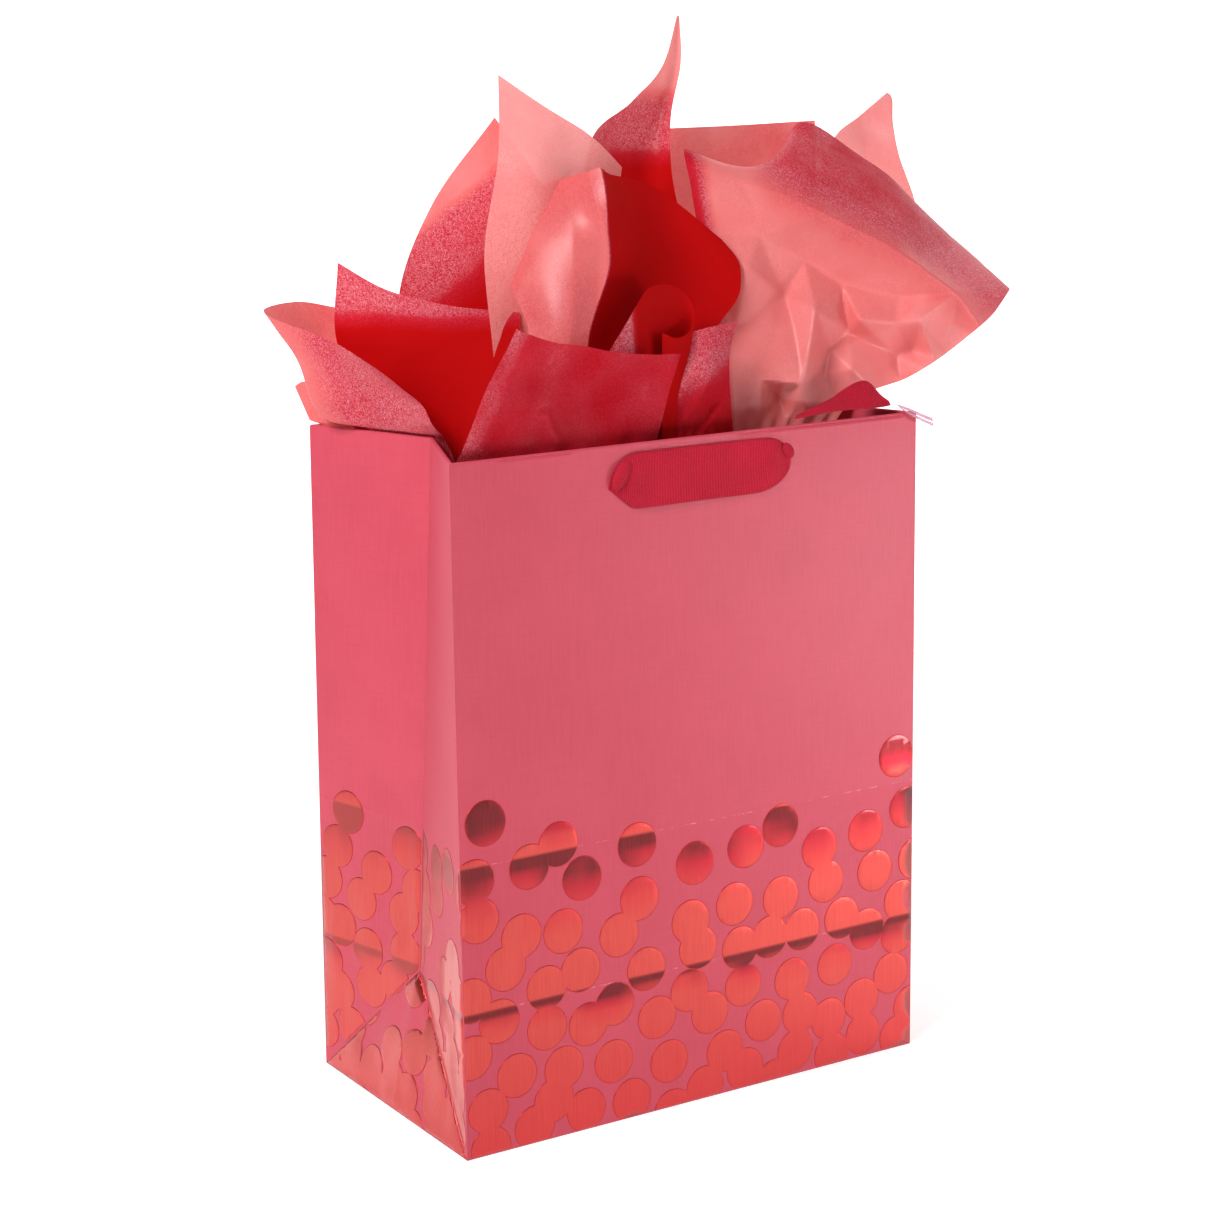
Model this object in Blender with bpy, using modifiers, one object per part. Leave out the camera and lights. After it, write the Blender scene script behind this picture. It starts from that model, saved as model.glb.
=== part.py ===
"""Paper gift bag with ribbon handles and a bouquet of tissue paper, modelled in metres.

+Z is up, the origin is the centre of the base on the floor, the back panel faces -Y and the
front panel faces +Y. The bag is one creased sheet, so each flat stretch between two creases is
a node of its own. Each moving piece has its origin on its joint's axis.
"""

import math

import bmesh
import bpy
from mathutils import Matrix, Vector

# Bag, outside sizes
WIDTH = 0.264
DEPTH = 0.145
HEIGHT = 0.330
TOP_DEPTH = 0.137
TUCK_TOP = 0.0285
TUCK_APEX = 0.0165
APEX_HEIGHT = 0.069

# Sheets and the clearance between faces that touch
PAPER = 0.0004
CARD = 0.0006
GAP = 0.0003
HEM_DEPTH = 0.035
CARD_DEPTH = 0.032
GLUE_FLAP_WIDTH = 0.016
BASE_BOARD = 0.0015
TISSUE = 0.0008

# Ribbon handles
RIBBON_WIDTH = 0.0254
RIBBON_THICKNESS = 0.0008
HOLE_RADIUS = 0.004
HOLE_SPACING = 0.096
HANDLE_CENTRE = 0.004
HOLE_DROP = 0.0175
LEG_RADIUS = 0.0015
HANDLE_DROP = 0.100
RIM_CLEARANCE = 0.0015

HALF_WIDTH = WIDTH / 2
HALF_DEPTH = DEPTH / 2
HALF_TOP = TOP_DEPTH / 2
HOLE_HEIGHT = HEIGHT - HOLE_DROP
HOLE_X = [HANDLE_CENTRE - HOLE_SPACING / 2, HANDLE_CENTRE + HOLE_SPACING / 2]
SIDE_CLEARANCE = PAPER + GAP
AXIS_HEIGHT = HEIGHT + 0.0025
BACK_AXIS = Vector((0, -HALF_TOP, AXIS_HEIGHT))
FRONT_AXIS = Vector((0, HALF_TOP + RIM_CLEARANCE, AXIS_HEIGHT))

COLOURS = {
    "wrapper_paper": ((0.62, 0.11, 0.15, 1), 0.5, 0.0),
    "inner_paper": ((0.80, 0.62, 0.60, 1), 0.7, 0.0),
    "card_board": ((0.55, 0.50, 0.45, 1), 0.8, 0.0),
    "ribbon": ((0.50, 0.01, 0.04, 1), 0.6, 0.0),
    "clear_plastic": ((0.80, 0.70, 0.80, 0.35), 0.1, 0.0),
    "tissue_paper": ((0.70, 0.05, 0.06, 1), 0.6, 0.0),
}

# Each tissue petal is one corner of a sheet. Its points, in millimetres, are passed through by
# the surface, row by row from the end inside the bag up to the free edge.
TISSUE_PETALS = {
    "tissue_front_petal": (
        ((-95, -46, 200), (-60, -48, 195), (-25, -46, 200)),
        ((-122, -58, 328), (-70, -58, 327), (-16, -57, 328)),
        ((-100, -74, 388), (-53, -70, 376), (-7, -64, 368)),
    ),
    "tissue_front_small_petal": (
        ((-14, -45, 205), (-3, -46, 200), (8, -45, 205)),
        ((-10, -52, 326), (9, -52, 325), (28, -51, 325)),
        ((-5, -56, 366), (14, -57, 367), (33, -54, 368)),
    ),
    "tissue_front_roll": (
        ((-14, -37, 215), (-3, -38, 212), (8, -37, 215)),
        ((-16, -44, 346), (-5, -46, 345), (14, -43, 343)),
        ((-15, -46, 392), (-8, -52, 396), (14, -44, 391)),
    ),
    "tissue_centre_petal": (
        ((-62, -26, 195), (-35, -28, 190), (-8, -28, 190), (18, -26, 195)),
        ((-70, -34, 375), (-45, -40, 376), (-6, -37, 370), (43, -31, 371)),
        ((-75, -24, 422), (-26, -20, 451), (32, -17, 435), (54, -26, 389)),
    ),
    "tissue_right_petal": (
        ((34, -30, 195), (55, -31, 190), (78, -32, 190), (98, -34, 195)),
        ((40, -37, 330), (68, -38, 330), (92, -40, 332), (112, -42, 334)),
        ((50, -12, 395), (92, -22, 398), (136, -30, 386), (178, -38, 349)),
        ((53, 10, 457), (109, 2, 469), (165, -16, 434), (222, -34, 383)),
    ),
    "tissue_left_petal": (
        ((-98, 34, 200), (-94, 16, 195), (-90, 0, 200)),
        ((-119, 54, 332), (-108, 26, 331), (-96, -2, 330)),
        ((-159, 60, 389), (-134, 20, 370), (-103, -4, 344)),
    ),
    "tissue_left_inner_petal": (
        ((-84, 30, 200), (-80, 10, 195), (-74, -14, 200)),
        ((-106, 42, 335), (-94, 12, 335), (-82, -20, 335)),
        ((-129, 40, 410), (-105, 4, 396), (-68, -22, 385)),
    ),
    "tissue_left_tall_petal": (
        ((-76, 36, 200), (-60, 32, 195), (-42, 28, 200)),
        ((-92, 42, 340), (-66, 38, 340), (-36, 31, 340)),
        ((-91, 40, 404), (-69, 30, 404), (-36, 20, 398)),
        ((-46, 32, 475), (-35, 24, 455), (-26, 16, 436)),
    ),
    "tissue_tall_petal_left": (
        ((-50, -6, 200), (-30, -7, 195), (-10, -6, 200)),
        ((-68, -10, 379), (-39, -12, 377), (-2, -8, 374)),
        ((-63, 0, 496), (-33, -4, 475), (1, -6, 451)),
    ),
    "tissue_tall_petal_right": (
        ((-20, 8, 200), (2, 8, 195), (24, 8, 200)),
        ((-6, 5, 412), (20, 8, 410), (47, 10, 408)),
        ((53, 25, 522), (52, 26, 490), (46, 22, 456)),
    ),
    "tissue_back_petal": (
        ((0, 28, 200), (30, 30, 195), (64, 30, 200)),
        ((34, 30, 382), (86, 34, 379), (128, 32, 376)),
        ((49, 38, 465), (99, 40, 467), (148, 38, 467)),
    ),
    "tissue_right_back_petal": (
        ((68, 14, 200), (82, 14, 195), (92, 12, 200)),
        ((84, 18, 335), (100, 14, 335), (106, 4, 336)),
        ((129, 24, 402), (166, 22, 400), (203, 14, 378)),
        ((193, 34, 480), (192, 28, 453), (196, 14, 425)),
    ),
    "tissue_far_left_petal": (
        ((-92, 50, 215), (-82, 50, 210), (-72, 48, 215)),
        ((-121, 61, 332), (-106, 60, 332), (-86, 54, 332)),
        ((-136, 72, 348), (-127, 66, 351), (-118, 58, 349)),
    ),
}


def clear_scene():
    for item in list(bpy.data.objects):
        bpy.data.objects.remove(item, do_unlink=True)


def make_collection(name):
    collection = bpy.data.collections.new(name)
    bpy.context.scene.collection.children.link(collection)
    return collection


def make_materials():
    made = {}
    for name, (colour, roughness, metallic) in COLOURS.items():
        material = bpy.data.materials.new(name)
        material.use_nodes = True
        shader = material.node_tree.nodes["Principled BSDF"]
        shader.inputs["Base Color"].default_value = colour
        shader.inputs["Roughness"].default_value = roughness
        shader.inputs["Metallic"].default_value = metallic
        shader.inputs["Alpha"].default_value = colour[3]
        made[name] = material
    return made


def surface_object(name, material, rows, thickness, offset=-1.0, origin=(0, 0, 0), smooth=False):
    """A sheet through rows of points, made solid. Its normal is along-the-row cross up-the-rows."""
    origin = Vector(origin)
    mesh = bpy.data.meshes.new(name)
    shell = bmesh.new()
    points = [[shell.verts.new(Vector(p) - origin) for p in row] for row in rows]
    for low, high in zip(points, points[1:]):
        for a, b, c, d in zip(low, low[1:], high[1:], high):
            shell.faces.new((a, b, c, d))
    bmesh.ops.remove_doubles(shell, verts=shell.verts, dist=1e-6)
    shell.to_mesh(mesh)
    shell.free()
    if smooth:
        mesh.shade_smooth()
    item = bpy.data.objects.new(name, mesh)
    item.location = origin
    item.data.materials.append(MATERIALS[material])
    PARTS.objects.link(item)
    solid = item.modifiers.new("Thickness", "SOLIDIFY")
    solid.thickness = thickness
    solid.offset = offset
    return item


def outline_object(name, material, outline, thickness, matrix):
    """A flat outline made solid, centred on its plane, then placed by a matrix."""
    curve = bpy.data.curves.new(name, "CURVE")
    curve.dimensions = "2D"
    curve.fill_mode = "BOTH"
    curve.extrude = thickness / 2
    spline = curve.splines.new("POLY")
    spline.points.add(len(outline) - 1)
    for point, (x, y) in zip(spline.points, outline):
        point.co = (x, y, 0, 1)
    spline.use_cyclic_u = True
    item = bpy.data.objects.new(name, curve)
    item.matrix_world = matrix
    curve.materials.append(MATERIALS[material])
    PARTS.objects.link(item)
    return item


def tube_object(name, material, path, radius):
    curve = bpy.data.curves.new(name, "CURVE")
    curve.dimensions = "3D"
    curve.bevel_depth = radius
    curve.bevel_resolution = 2
    curve.use_fill_caps = True
    spline = curve.splines.new("POLY")
    spline.points.add(len(path) - 1)
    for point, co in zip(spline.points, path):
        point.co = (*co, 1)
    item = bpy.data.objects.new(name, curve)
    curve.materials.append(MATERIALS[material])
    PARTS.objects.link(item)
    return item


def smooth_path(points, steps):
    """Points along a Catmull-Rom curve through the given ones."""
    points = [Vector(p) for p in points]
    points = [2 * points[0] - points[1]] + points + [2 * points[-1] - points[-2]]
    path = []
    for a, b, c, d in zip(points, points[1:], points[2:], points[3:]):
        for step in range(steps):
            t = step / steps
            path.append(
                0.5 * (2 * b + (c - a) * t + (2 * a - 5 * b + 4 * c - d) * t**2
                       + (3 * b - a - 3 * c + d) * t**3)
            )
    return path + [points[-2]]


def weights(count, t):
    """Lagrange weights of evenly spaced points at t, from 0 to 1."""
    made = []
    for i in range(count):
        value = 1.0
        for j in range(count):
            if j != i:
                value *= (t * (count - 1) - j) / (i - j)
        made.append(value)
    return made


def patch_rows(grid, up, across):
    """Rows of points on the smooth surface that passes through a small grid of points."""
    rows = []
    for i in range(up + 1):
        row_weights = weights(len(grid), i / up)
        row = []
        for j in range(across + 1):
            column_weights = weights(len(grid[0]), j / across)
            point = Vector((0, 0, 0))
            for wi, points in zip(row_weights, grid):
                for wj, co in zip(column_weights, points):
                    point += wi * wj * Vector(co)
            row.append(point)
        rows.append(row)
    return rows


def panel_depth(height):
    """Distance of a wide panel's outer face from the middle of the bag, which narrows upwards."""
    return HALF_DEPTH + (HALF_TOP - HALF_DEPTH) * height / HEIGHT


def turned(points, side):
    """Points given for the back (side -1), turned half a turn about +Z for the front."""
    return [(side * -x, side * -y, z) for x, y, z in points]


def make_cutters():
    """One round cutter through each punched handle hole."""
    made = {}
    for side, label in ((-1, "back"), (1, "front")):
        for x, hand in zip(HOLE_X, ("left", "right")):
            bpy.ops.mesh.primitive_cylinder_add(
                vertices=24, radius=HOLE_RADIUS, depth=0.02,
                location=(x, side * HALF_TOP, HOLE_HEIGHT), rotation=(math.pi / 2, 0, 0),
            )
            cutter = bpy.context.object
            cutter.name = f"hole_cutter_{label}_{hand}"
            cutter.hide_render = True
            cutter.display_type = "WIRE"
            for collection in list(cutter.users_collection):
                collection.objects.unlink(cutter)
            CUTTERS.objects.link(cutter)
            made.setdefault(side, []).append(cutter)
    return made


def punch(item, side):
    for number, cutter in enumerate(HOLE_CUTTERS[side]):
        cut = item.modifiers.new(f"Hole {number}", "BOOLEAN")
        cut.operation = "DIFFERENCE"
        cut.object = cutter


def make_wide_panel(side, label):
    """The wide panel with its card strip and turned-in top hem, all punched for the ribbon."""

    def rows(heights, half_width, inset):
        made = []
        for height in heights:
            y = -(panel_depth(height) - inset)
            made.append(turned([(-half_width, y, height), (half_width, y, height)], side))
        return made

    panel = surface_object(
        f"{label}_panel", "wrapper_paper", rows((0, HEIGHT), HALF_WIDTH, 0), PAPER)
    strip_inset = PAPER + GAP
    strip_heights = (HEIGHT - CARD_DEPTH, HEIGHT - 0.001)
    strip_half = HALF_WIDTH - 0.004
    strip = surface_object(
        f"{label}_card_strip", "card_board", rows(strip_heights, strip_half, strip_inset), CARD)
    hem_inset = strip_inset + CARD + GAP
    hem_rows = rows((HEIGHT - HEM_DEPTH, HEIGHT), strip_half, hem_inset)
    lip_y = -(HALF_TOP - strip_inset)
    lip = turned([(-strip_half, lip_y, HEIGHT), (strip_half, lip_y, HEIGHT)], side)
    hem = surface_object(f"{label}_top_hem", "inner_paper", hem_rows + [lip], PAPER, offset=1.0)
    hem.data.flip_normals()
    for item in (panel, strip, hem):
        punch(item, side)


def gusset_point(side, end, height, share, inset=0.0):
    """A point on a gusset half, share of the way from its outer corner to the tucked crease."""
    rise = (height - APEX_HEIGHT) / (HEIGHT - APEX_HEIGHT)
    tuck = TUCK_APEX + (TUCK_TOP - TUCK_APEX) * max(0.0, rise)
    corner_y = panel_depth(height) - SIDE_CLEARANCE
    x = HALF_WIDTH - tuck * share - inset
    return (side * x, end * (corner_y + (GAP - corner_y) * share), height)


def make_gusset(side, label):
    """Two halves that meet at the tucked-in crease, the folded foot below, and their hems."""
    hem_low = HEIGHT - HEM_DEPTH
    hem_inset = PAPER + 2 * GAP
    hem_start = 0.05
    apex_inset = HALF_WIDTH - TUCK_APEX
    for end, end_label in ((-1, "back"), (1, "front")):
        apex = (side * apex_inset, end * GAP, APEX_HEIGHT)
        rows = [[(side * HALF_WIDTH, end * (HALF_DEPTH - SIDE_CLEARANCE), 0), apex]]
        for height in (APEX_HEIGHT, hem_low, HEIGHT):
            rows.append([gusset_point(side, end, height, share) for share in (0.0, 1.0)])
        hem = [[gusset_point(side, end, height, share, hem_inset) for share in (hem_start, 1.0)]
               for height in (hem_low, HEIGHT)]
        if side * end > 0:
            rows = [row[::-1] for row in rows]
            hem = [row[::-1] for row in hem]
        surface_object(f"{label}_gusset_{end_label}_half", "wrapper_paper", rows, PAPER)
        surface_object(f"{label}_gusset_{end_label}_hem", "inner_paper", hem, PAPER)
    margin = 0.0012
    low = HALF_DEPTH - SIDE_CLEARANCE - margin
    make_foot(f"{label}_gusset_foot", [
        (side * HALF_WIDTH, side * -low, 0), (side * HALF_WIDTH, side * low, 0),
        (side * apex_inset, 0, APEX_HEIGHT - margin)])


def make_foot(name, corners):
    """The triangle that the gusset folds down to at the base."""
    mesh = bpy.data.meshes.new(name)
    shell = bmesh.new()
    shell.faces.new([shell.verts.new(corner) for corner in corners])
    shell.to_mesh(mesh)
    shell.free()
    item = bpy.data.objects.new(name, mesh)
    mesh.materials.append(MATERIALS["wrapper_paper"])
    PARTS.objects.link(item)
    solid = item.modifiers.new("Thickness", "SOLIDIFY")
    solid.thickness = PAPER
    solid.offset = -1.0


def make_side_glue_flap():
    """The lap that closes the sheet, glued inside the front panel's edge at +X."""
    right = HALF_WIDTH - 0.0022
    above_base = 0.005
    below_hem = HEIGHT - HEM_DEPTH - 0.002
    rows = []
    for height in (above_base, below_hem):
        y = panel_depth(height) - SIDE_CLEARANCE
        rows.append([(right, y, height), (right - GLUE_FLAP_WIDTH, y, height)])
    surface_object("side_glue_flap", "inner_paper", rows, PAPER)


def plate(name, material, outline, bottom, thickness):
    return outline_object(
        name, material, outline, thickness, Matrix.Translation((0, 0, bottom + thickness / 2)))


def make_base():
    """Two long flaps that lap along the middle, two end flaps above them and the loose board."""
    x = HALF_WIDTH - 0.0012
    y = HALF_DEPTH - SIDE_CLEARANCE
    lap = 0.012
    layer = PAPER + GAP
    plate("bottom_flap_back", "wrapper_paper", [(-x, -y), (x, -y), (x, lap), (-x, lap)], 0, PAPER)
    plate("bottom_flap_front", "wrapper_paper", [(-x, -lap), (x, -lap), (x, y), (-x, y)],
          layer, PAPER)
    reach = 0.060
    half_end = HALF_DEPTH - 0.0025
    for side, label in ((-1, "left"), (1, "right")):
        outline = [(side * x, -half_end), (side * x, half_end),
                   (side * (x - reach), half_end - reach), (side * (x - reach), reach - half_end)]
        plate(f"bottom_end_flap_{label}", "wrapper_paper", outline, 2 * layer, PAPER)
    board_x = HALF_WIDTH - 0.0028
    board_y = HALF_DEPTH - 0.0030
    board = [(-board_x, -board_y), (board_x, -board_y), (board_x, board_y), (-board_x, board_y)]
    plate("base_board", "card_board", board, 3 * layer, BASE_BOARD)


def ribbon_span(side, label):
    """The stretch of ribbon outside the panel, which narrows where it enters its two holes."""
    past_hole = 0.0045
    half_length = HOLE_SPACING / 2 + past_hole
    half_width = RIBBON_WIDTH / 2
    upper_end = ((1.0, -0.15), (0.97, 0.35), (0.90, 0.80), (0.80, 1.0))
    lower_end = ((0.66, -1.0), (0.88, -0.78))
    upper_right = [(half_length * a, half_width * b) for a, b in upper_end]
    lower_right = [(half_length * a, half_width * b) for a, b in lower_end]
    lower_left = [(-a, -b) for a, b in upper_right]
    upper_left = [(-a, -b) for a, b in lower_right]
    outline = upper_right + upper_left + lower_left + lower_right
    lean = math.atan2(HALF_DEPTH - HALF_TOP, HEIGHT)
    y = side * (panel_depth(HOLE_HEIGHT) + GAP + RIBBON_THICKNESS / 2)
    upright = Matrix.Rotation(math.pi / 2 + side * lean, 4, "X")
    place = Matrix.Translation((HANDLE_CENTRE, y, HOLE_HEIGHT)) @ upright
    outline_object(f"{label}_handle_span", "ribbon", outline, RIBBON_THICKNESS, place)


def ribbon_leg(name, x, side, end_x, end_height):
    """The bunched ribbon from its hole to the inside of the bag, then up to the rim."""
    outer = panel_depth(HOLE_HEIGHT)
    inner = HALF_TOP - 0.0038
    turn_height = HOLE_HEIGHT + 0.004
    path = smooth_path(
        [(x, side * outer, HOLE_HEIGHT), (x, side * (outer - 0.0025), HOLE_HEIGHT + 0.0004),
         (x, side * inner, turn_height),
         ((x + end_x) / 2, side * inner, (turn_height + end_height) / 2),
         (end_x, side * inner, end_height)], 3)
    tube_object(name, "ribbon", path, LEG_RADIUS)


def strip_object(name, lower, upper, origin=(0, 0, 0), material="ribbon", steps=4):
    """A ribbon between its two long edges, which are given in millimetres."""
    edges = [smooth_path([Vector(p) / 1000 for p in edge], steps) for edge in (lower, upper)]
    return surface_object(name, material, edges, RIBBON_THICKNESS, 0.0, origin, smooth=True)


def make_back_handle():
    """The back loop lies over to the right, and its crimped end hangs over the corner."""
    ribbon_span(-1, "back")
    ribbon_leg("back_handle_left_leg", HOLE_X[0], -1, HOLE_X[0] + 0.001, HEIGHT - 0.008)
    ribbon_leg("back_handle_right_leg", HOLE_X[1], -1, HOLE_X[1] + 0.004, HEIGHT - RIM_CLEARANCE)
    strip_object(
        "back_handle_inner_run",
        [(-40, -64.8, 303), (0, -64.0, 302), (35, -61.0, 302), (70, -60.6, 303), (108, -61.2, 305)],
        [(-40, -64.8, 320), (0, -64.0, 326), (35, -61.0, 327), (70, -60.6, 328), (108, -61.2, 328)])
    strip_object(
        "back_handle_loop",
        [(58, -68.5, 333.0), (78, -67.5, 334.2), (88, -66.5, 334.0), (98, -66, 333.8),
         (106, -66, 333.6), (113, -66, 333.6), (118, -66, 334.0)],
        [(60, -66.5, 334.2), (84, -60, 338.6), (96, -54, 341), (108, -52, 344.6),
         (115, -52, 343.8), (119, -56, 338.0), (120, -62, 335.2)],
        origin=BACK_AXIS)
    strip_object(
        "back_handle_crimp",
        [(121.5, -69.6, 332.4), (126, -72.6, 328.8), (132, -73.5, 325.6), (139, -73.5, 322.6)],
        [(121.5, -66.0, 334.2), (126, -70.0, 332.4), (132, -72.0, 329.5), (139, -72.5, 326.6)],
        material="clear_plastic", steps=2)


def front_loop_edges(start, end, count):
    """Edges of the hanging loop from start to end, where 0 and 1 are its two ends at the rim.

    The centre line goes over the rim, down one leg, round half an ellipse and up again. The
    ribbon lies flat on the panel at its legs and turns edge-on where it bends.
    """
    half = HOLE_SPACING / 2
    leg_length = 0.45 * HANDLE_DROP
    leg_low = HEIGHT - leg_length
    bend = HANDLE_DROP - leg_length
    bend_share = 0.6
    flat_share = 0.75
    bunched_share = 0.16
    bunched_width = 0.30
    edge_on = math.radians(78)
    off_panel = 0.0035
    inner_edge, outer_edge = [], []
    for step in range(count + 1):
        turn = 2 * (start + (end - start) * step / count) - 1
        if abs(turn) > bend_share:
            rise = (abs(turn) - bend_share) / (1 - bend_share)
            x = math.copysign(half, turn)
            z = leg_low + (HEIGHT + RIM_CLEARANCE - leg_low) * rise
            normal = Vector((math.copysign(1, turn), 0, 0))
        else:
            angle = turn / bend_share * math.pi / 2
            x = half * math.sin(angle)
            z = leg_low - bend * math.cos(angle)
            normal = Vector((math.sin(angle), 0, -math.cos(angle))).normalized()
        flat = min(1.0, abs(turn) / flat_share)
        twist = edge_on * (1 - flat**2)
        bunch = min(1.0, (1 - abs(turn)) / bunched_share)
        width = RIBBON_WIDTH * (bunched_width + (1 - bunched_width) * bunch)
        y = HALF_TOP + off_panel + math.sin(twist) * width / 2
        across = normal * math.cos(twist) + Vector((0, 1, 0)) * math.sin(twist)
        centre = Vector((HANDLE_CENTRE + x, y, z))
        inner_edge.append(centre - across * width / 2)
        outer_edge.append(centre + across * width / 2)
    return inner_edge, outer_edge


def make_front_handle():
    """The front loop hangs outside, its two ends joined by a crimp at the middle of the bend."""
    ribbon_span(1, "front")
    for x, hand in zip(HOLE_X, ("left", "right")):
        ribbon_leg(f"front_handle_{hand}_leg", x, 1, x, HEIGHT - RIM_CLEARANCE)
    for name, start, end, count, material in (
        ("front_handle_left_strap", 0.0, 0.478, 15, "ribbon"),
        ("front_handle_crimp", 0.480, 0.520, 2, "clear_plastic"),
        ("front_handle_right_strap", 0.522, 1.0, 15, "ribbon"),
    ):
        edges = front_loop_edges(start, end, count)
        thickness = RIBBON_THICKNESS * (2 if material == "clear_plastic" else 1)
        surface_object(name, material, edges, thickness, 0.0, FRONT_AXIS, smooth=True)


def make_tissue():
    for name, grid in TISSUE_PETALS.items():
        metres = [[Vector(point) / 1000 for point in row] for row in grid]
        rows = patch_rows(metres, 10, 8)
        surface_object(name, "tissue_paper", rows, TISSUE, 0.0, smooth=True)


clear_scene()
PARTS = make_collection("gift_bag")
CUTTERS = make_collection("cutters")
MATERIALS = make_materials()
HOLE_CUTTERS = make_cutters()
for panel_side, panel_label in ((-1, "back"), (1, "front")):
    make_wide_panel(panel_side, panel_label)
for gusset_side, gusset_label in ((-1, "left"), (1, "right")):
    make_gusset(gusset_side, gusset_label)
make_side_glue_flap()
make_base()
make_back_handle()
make_front_handle()
make_tissue()
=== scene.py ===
import math
import random

import bmesh
import bpy
import numpy as np
from mathutils import Matrix, Vector, noise
from mathutils.geometry import delaunay_2d_cdt


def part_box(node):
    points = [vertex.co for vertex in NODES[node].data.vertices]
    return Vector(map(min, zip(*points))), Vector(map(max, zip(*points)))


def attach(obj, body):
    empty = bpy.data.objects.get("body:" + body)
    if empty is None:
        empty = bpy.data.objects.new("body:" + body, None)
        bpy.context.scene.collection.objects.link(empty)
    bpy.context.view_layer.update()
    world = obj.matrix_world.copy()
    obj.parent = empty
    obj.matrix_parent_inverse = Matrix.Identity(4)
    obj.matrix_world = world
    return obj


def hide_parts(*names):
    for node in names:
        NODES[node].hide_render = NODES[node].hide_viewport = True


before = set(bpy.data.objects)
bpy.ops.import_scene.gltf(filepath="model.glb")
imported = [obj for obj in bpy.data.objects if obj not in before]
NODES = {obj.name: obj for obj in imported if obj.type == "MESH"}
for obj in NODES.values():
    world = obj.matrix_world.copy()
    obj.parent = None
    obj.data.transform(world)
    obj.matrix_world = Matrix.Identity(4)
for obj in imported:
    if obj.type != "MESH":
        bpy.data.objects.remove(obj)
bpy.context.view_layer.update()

# ---------------------------------------------------------------- sizes, in metres
MM = 0.001
PAPER = 0.4 * MM
RIM_RADIUS = 1.0 * MM
HEM_DEPTH = 35 * MM
FOIL_LIFT = 0.16 * MM
FOIL_EDGE_LIFT = 0.08 * MM
FOIL_FILM = 0.05 * MM
FOIL_TOP = 180 * MM
PANEL_MARGIN, GUSSET_MARGIN = 0.25 * MM, 0.8 * MM
PANEL_SPACING, GUSSET_SPACING = 4 * MM, 2 * MM
DOT_RADIUS = 11 * MM
DOT_EDGE = 0.35 * MM
RIB_PITCH = 1.0 * MM
RIB_HEIGHT = 0.13 * MM
SELVEDGE_BEAD = 0.10 * MM
RIBBON_THICKNESS = 0.5 * MM
RIBBON_WIDTH = 25.4 * MM
RIBBON_COLUMNS = 14

panel_low, panel_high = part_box("back_panel")
HALF_WIDTH = panel_high.x
HEIGHT = panel_high.z
HALF_DEPTH = -panel_low.y
HALF_TOP = -panel_high.y + PAPER
APEX = 69 * MM
TUCK_APEX = 16.5 * MM
TUCK_TOP = 28.5 * MM
LOW_CREASE = HALF_DEPTH - 1.5 * MM
HIGH_CREASE = 2 * HALF_DEPTH - 3 * MM
HOLE_HEIGHT = HEIGHT - 17.5 * MM


def smooth(t):
    t = max(0.0, min(1.0, t))
    return t * t * (3 - 2 * t)


# ---------------------------------------------------------------- materials
class Nodes:
    """A material's node tree, with short calls to add and link nodes."""

    def __init__(self, name):
        self.material = bpy.data.materials.new(name)
        self.material.use_nodes = True
        self.tree = self.material.node_tree
        self.shader = self.tree.nodes["Principled BSDF"]
        self.output = self.tree.nodes["Material Output"]
        self.place = self.add("ShaderNodeTexCoord").outputs["Object"]

    def add(self, kind, inputs=(), **settings):
        node = self.tree.nodes.new(kind)
        for key, value in settings.items():
            setattr(node, key, value)
        for key, value in dict(inputs).items():
            self.set(node.inputs[key], value)
        return node

    def set(self, socket, value):
        if isinstance(value, bpy.types.NodeSocket):
            self.tree.links.new(value, socket)
        else:
            socket.default_value = value

    def scaled(self, x, y, z):
        return self.add("ShaderNodeMapping", {"Vector": self.place, "Scale": (x, y, z)}).outputs[0]

    def noise(self, vector, scale, detail=2.0, roughness=0.5, distortion=0.0):
        inputs = {"Vector": vector, "Scale": scale, "Detail": detail,
                  "Roughness": roughness, "Distortion": distortion}
        return self.add("ShaderNodeTexNoise", inputs).outputs["Fac"]

    def ramp(self, value, stops):
        """A colour ramp through (position, colour) stops."""
        node = self.add("ShaderNodeValToRGB", {"Fac": value})
        elements = node.color_ramp.elements
        while len(elements) < len(stops):
            elements.new(0.5)
        for element, (position, colour) in zip(elements, stops):
            element.position = position
            element.color = colour if len(colour) == 4 else (*colour, 1)
        return node.outputs["Color"]

    def grey(self, value, low, high, start=0.0, end=1.0):
        """A value remapped from start..end to low..high."""
        inputs = {"Value": value, "From Min": start, "From Max": end, "To Min": low, "To Max": high}
        return self.add("ShaderNodeMapRange", inputs).outputs["Result"]

    def mix(self, factor, first, second):
        node = self.add("ShaderNodeMix", data_type="RGBA")
        self.set(node.inputs["Factor"], factor)
        self.set(node.inputs[6], first)
        self.set(node.inputs[7], second)
        return node.outputs[2]

    def maths(self, operation, first, second=0.0):
        node = self.add("ShaderNodeMath", operation=operation)
        self.set(node.inputs[0], first)
        self.set(node.inputs[1], second)
        return node.outputs[0]

    def mix_shader(self, factor, first, second):
        node = self.add("ShaderNodeMixShader", {"Fac": factor})
        for i, shader in enumerate((first, second), 1):
            self.tree.links.new(shader, node.inputs[i])
        return node.outputs[0]

    def axis(self, name):
        return self.add("ShaderNodeSeparateXYZ", {"Vector": self.place}).outputs[name]

    def bump(self, height, strength, distance):
        inputs = {"Height": height, "Strength": strength, "Distance": distance}
        self.set(self.shader.inputs["Normal"], self.add("ShaderNodeBump", inputs).outputs[0])

    def finish(self, **inputs):
        for key, value in inputs.items():
            self.set(self.shader.inputs[key.replace("_", " ")], value)
        return self.material


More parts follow.
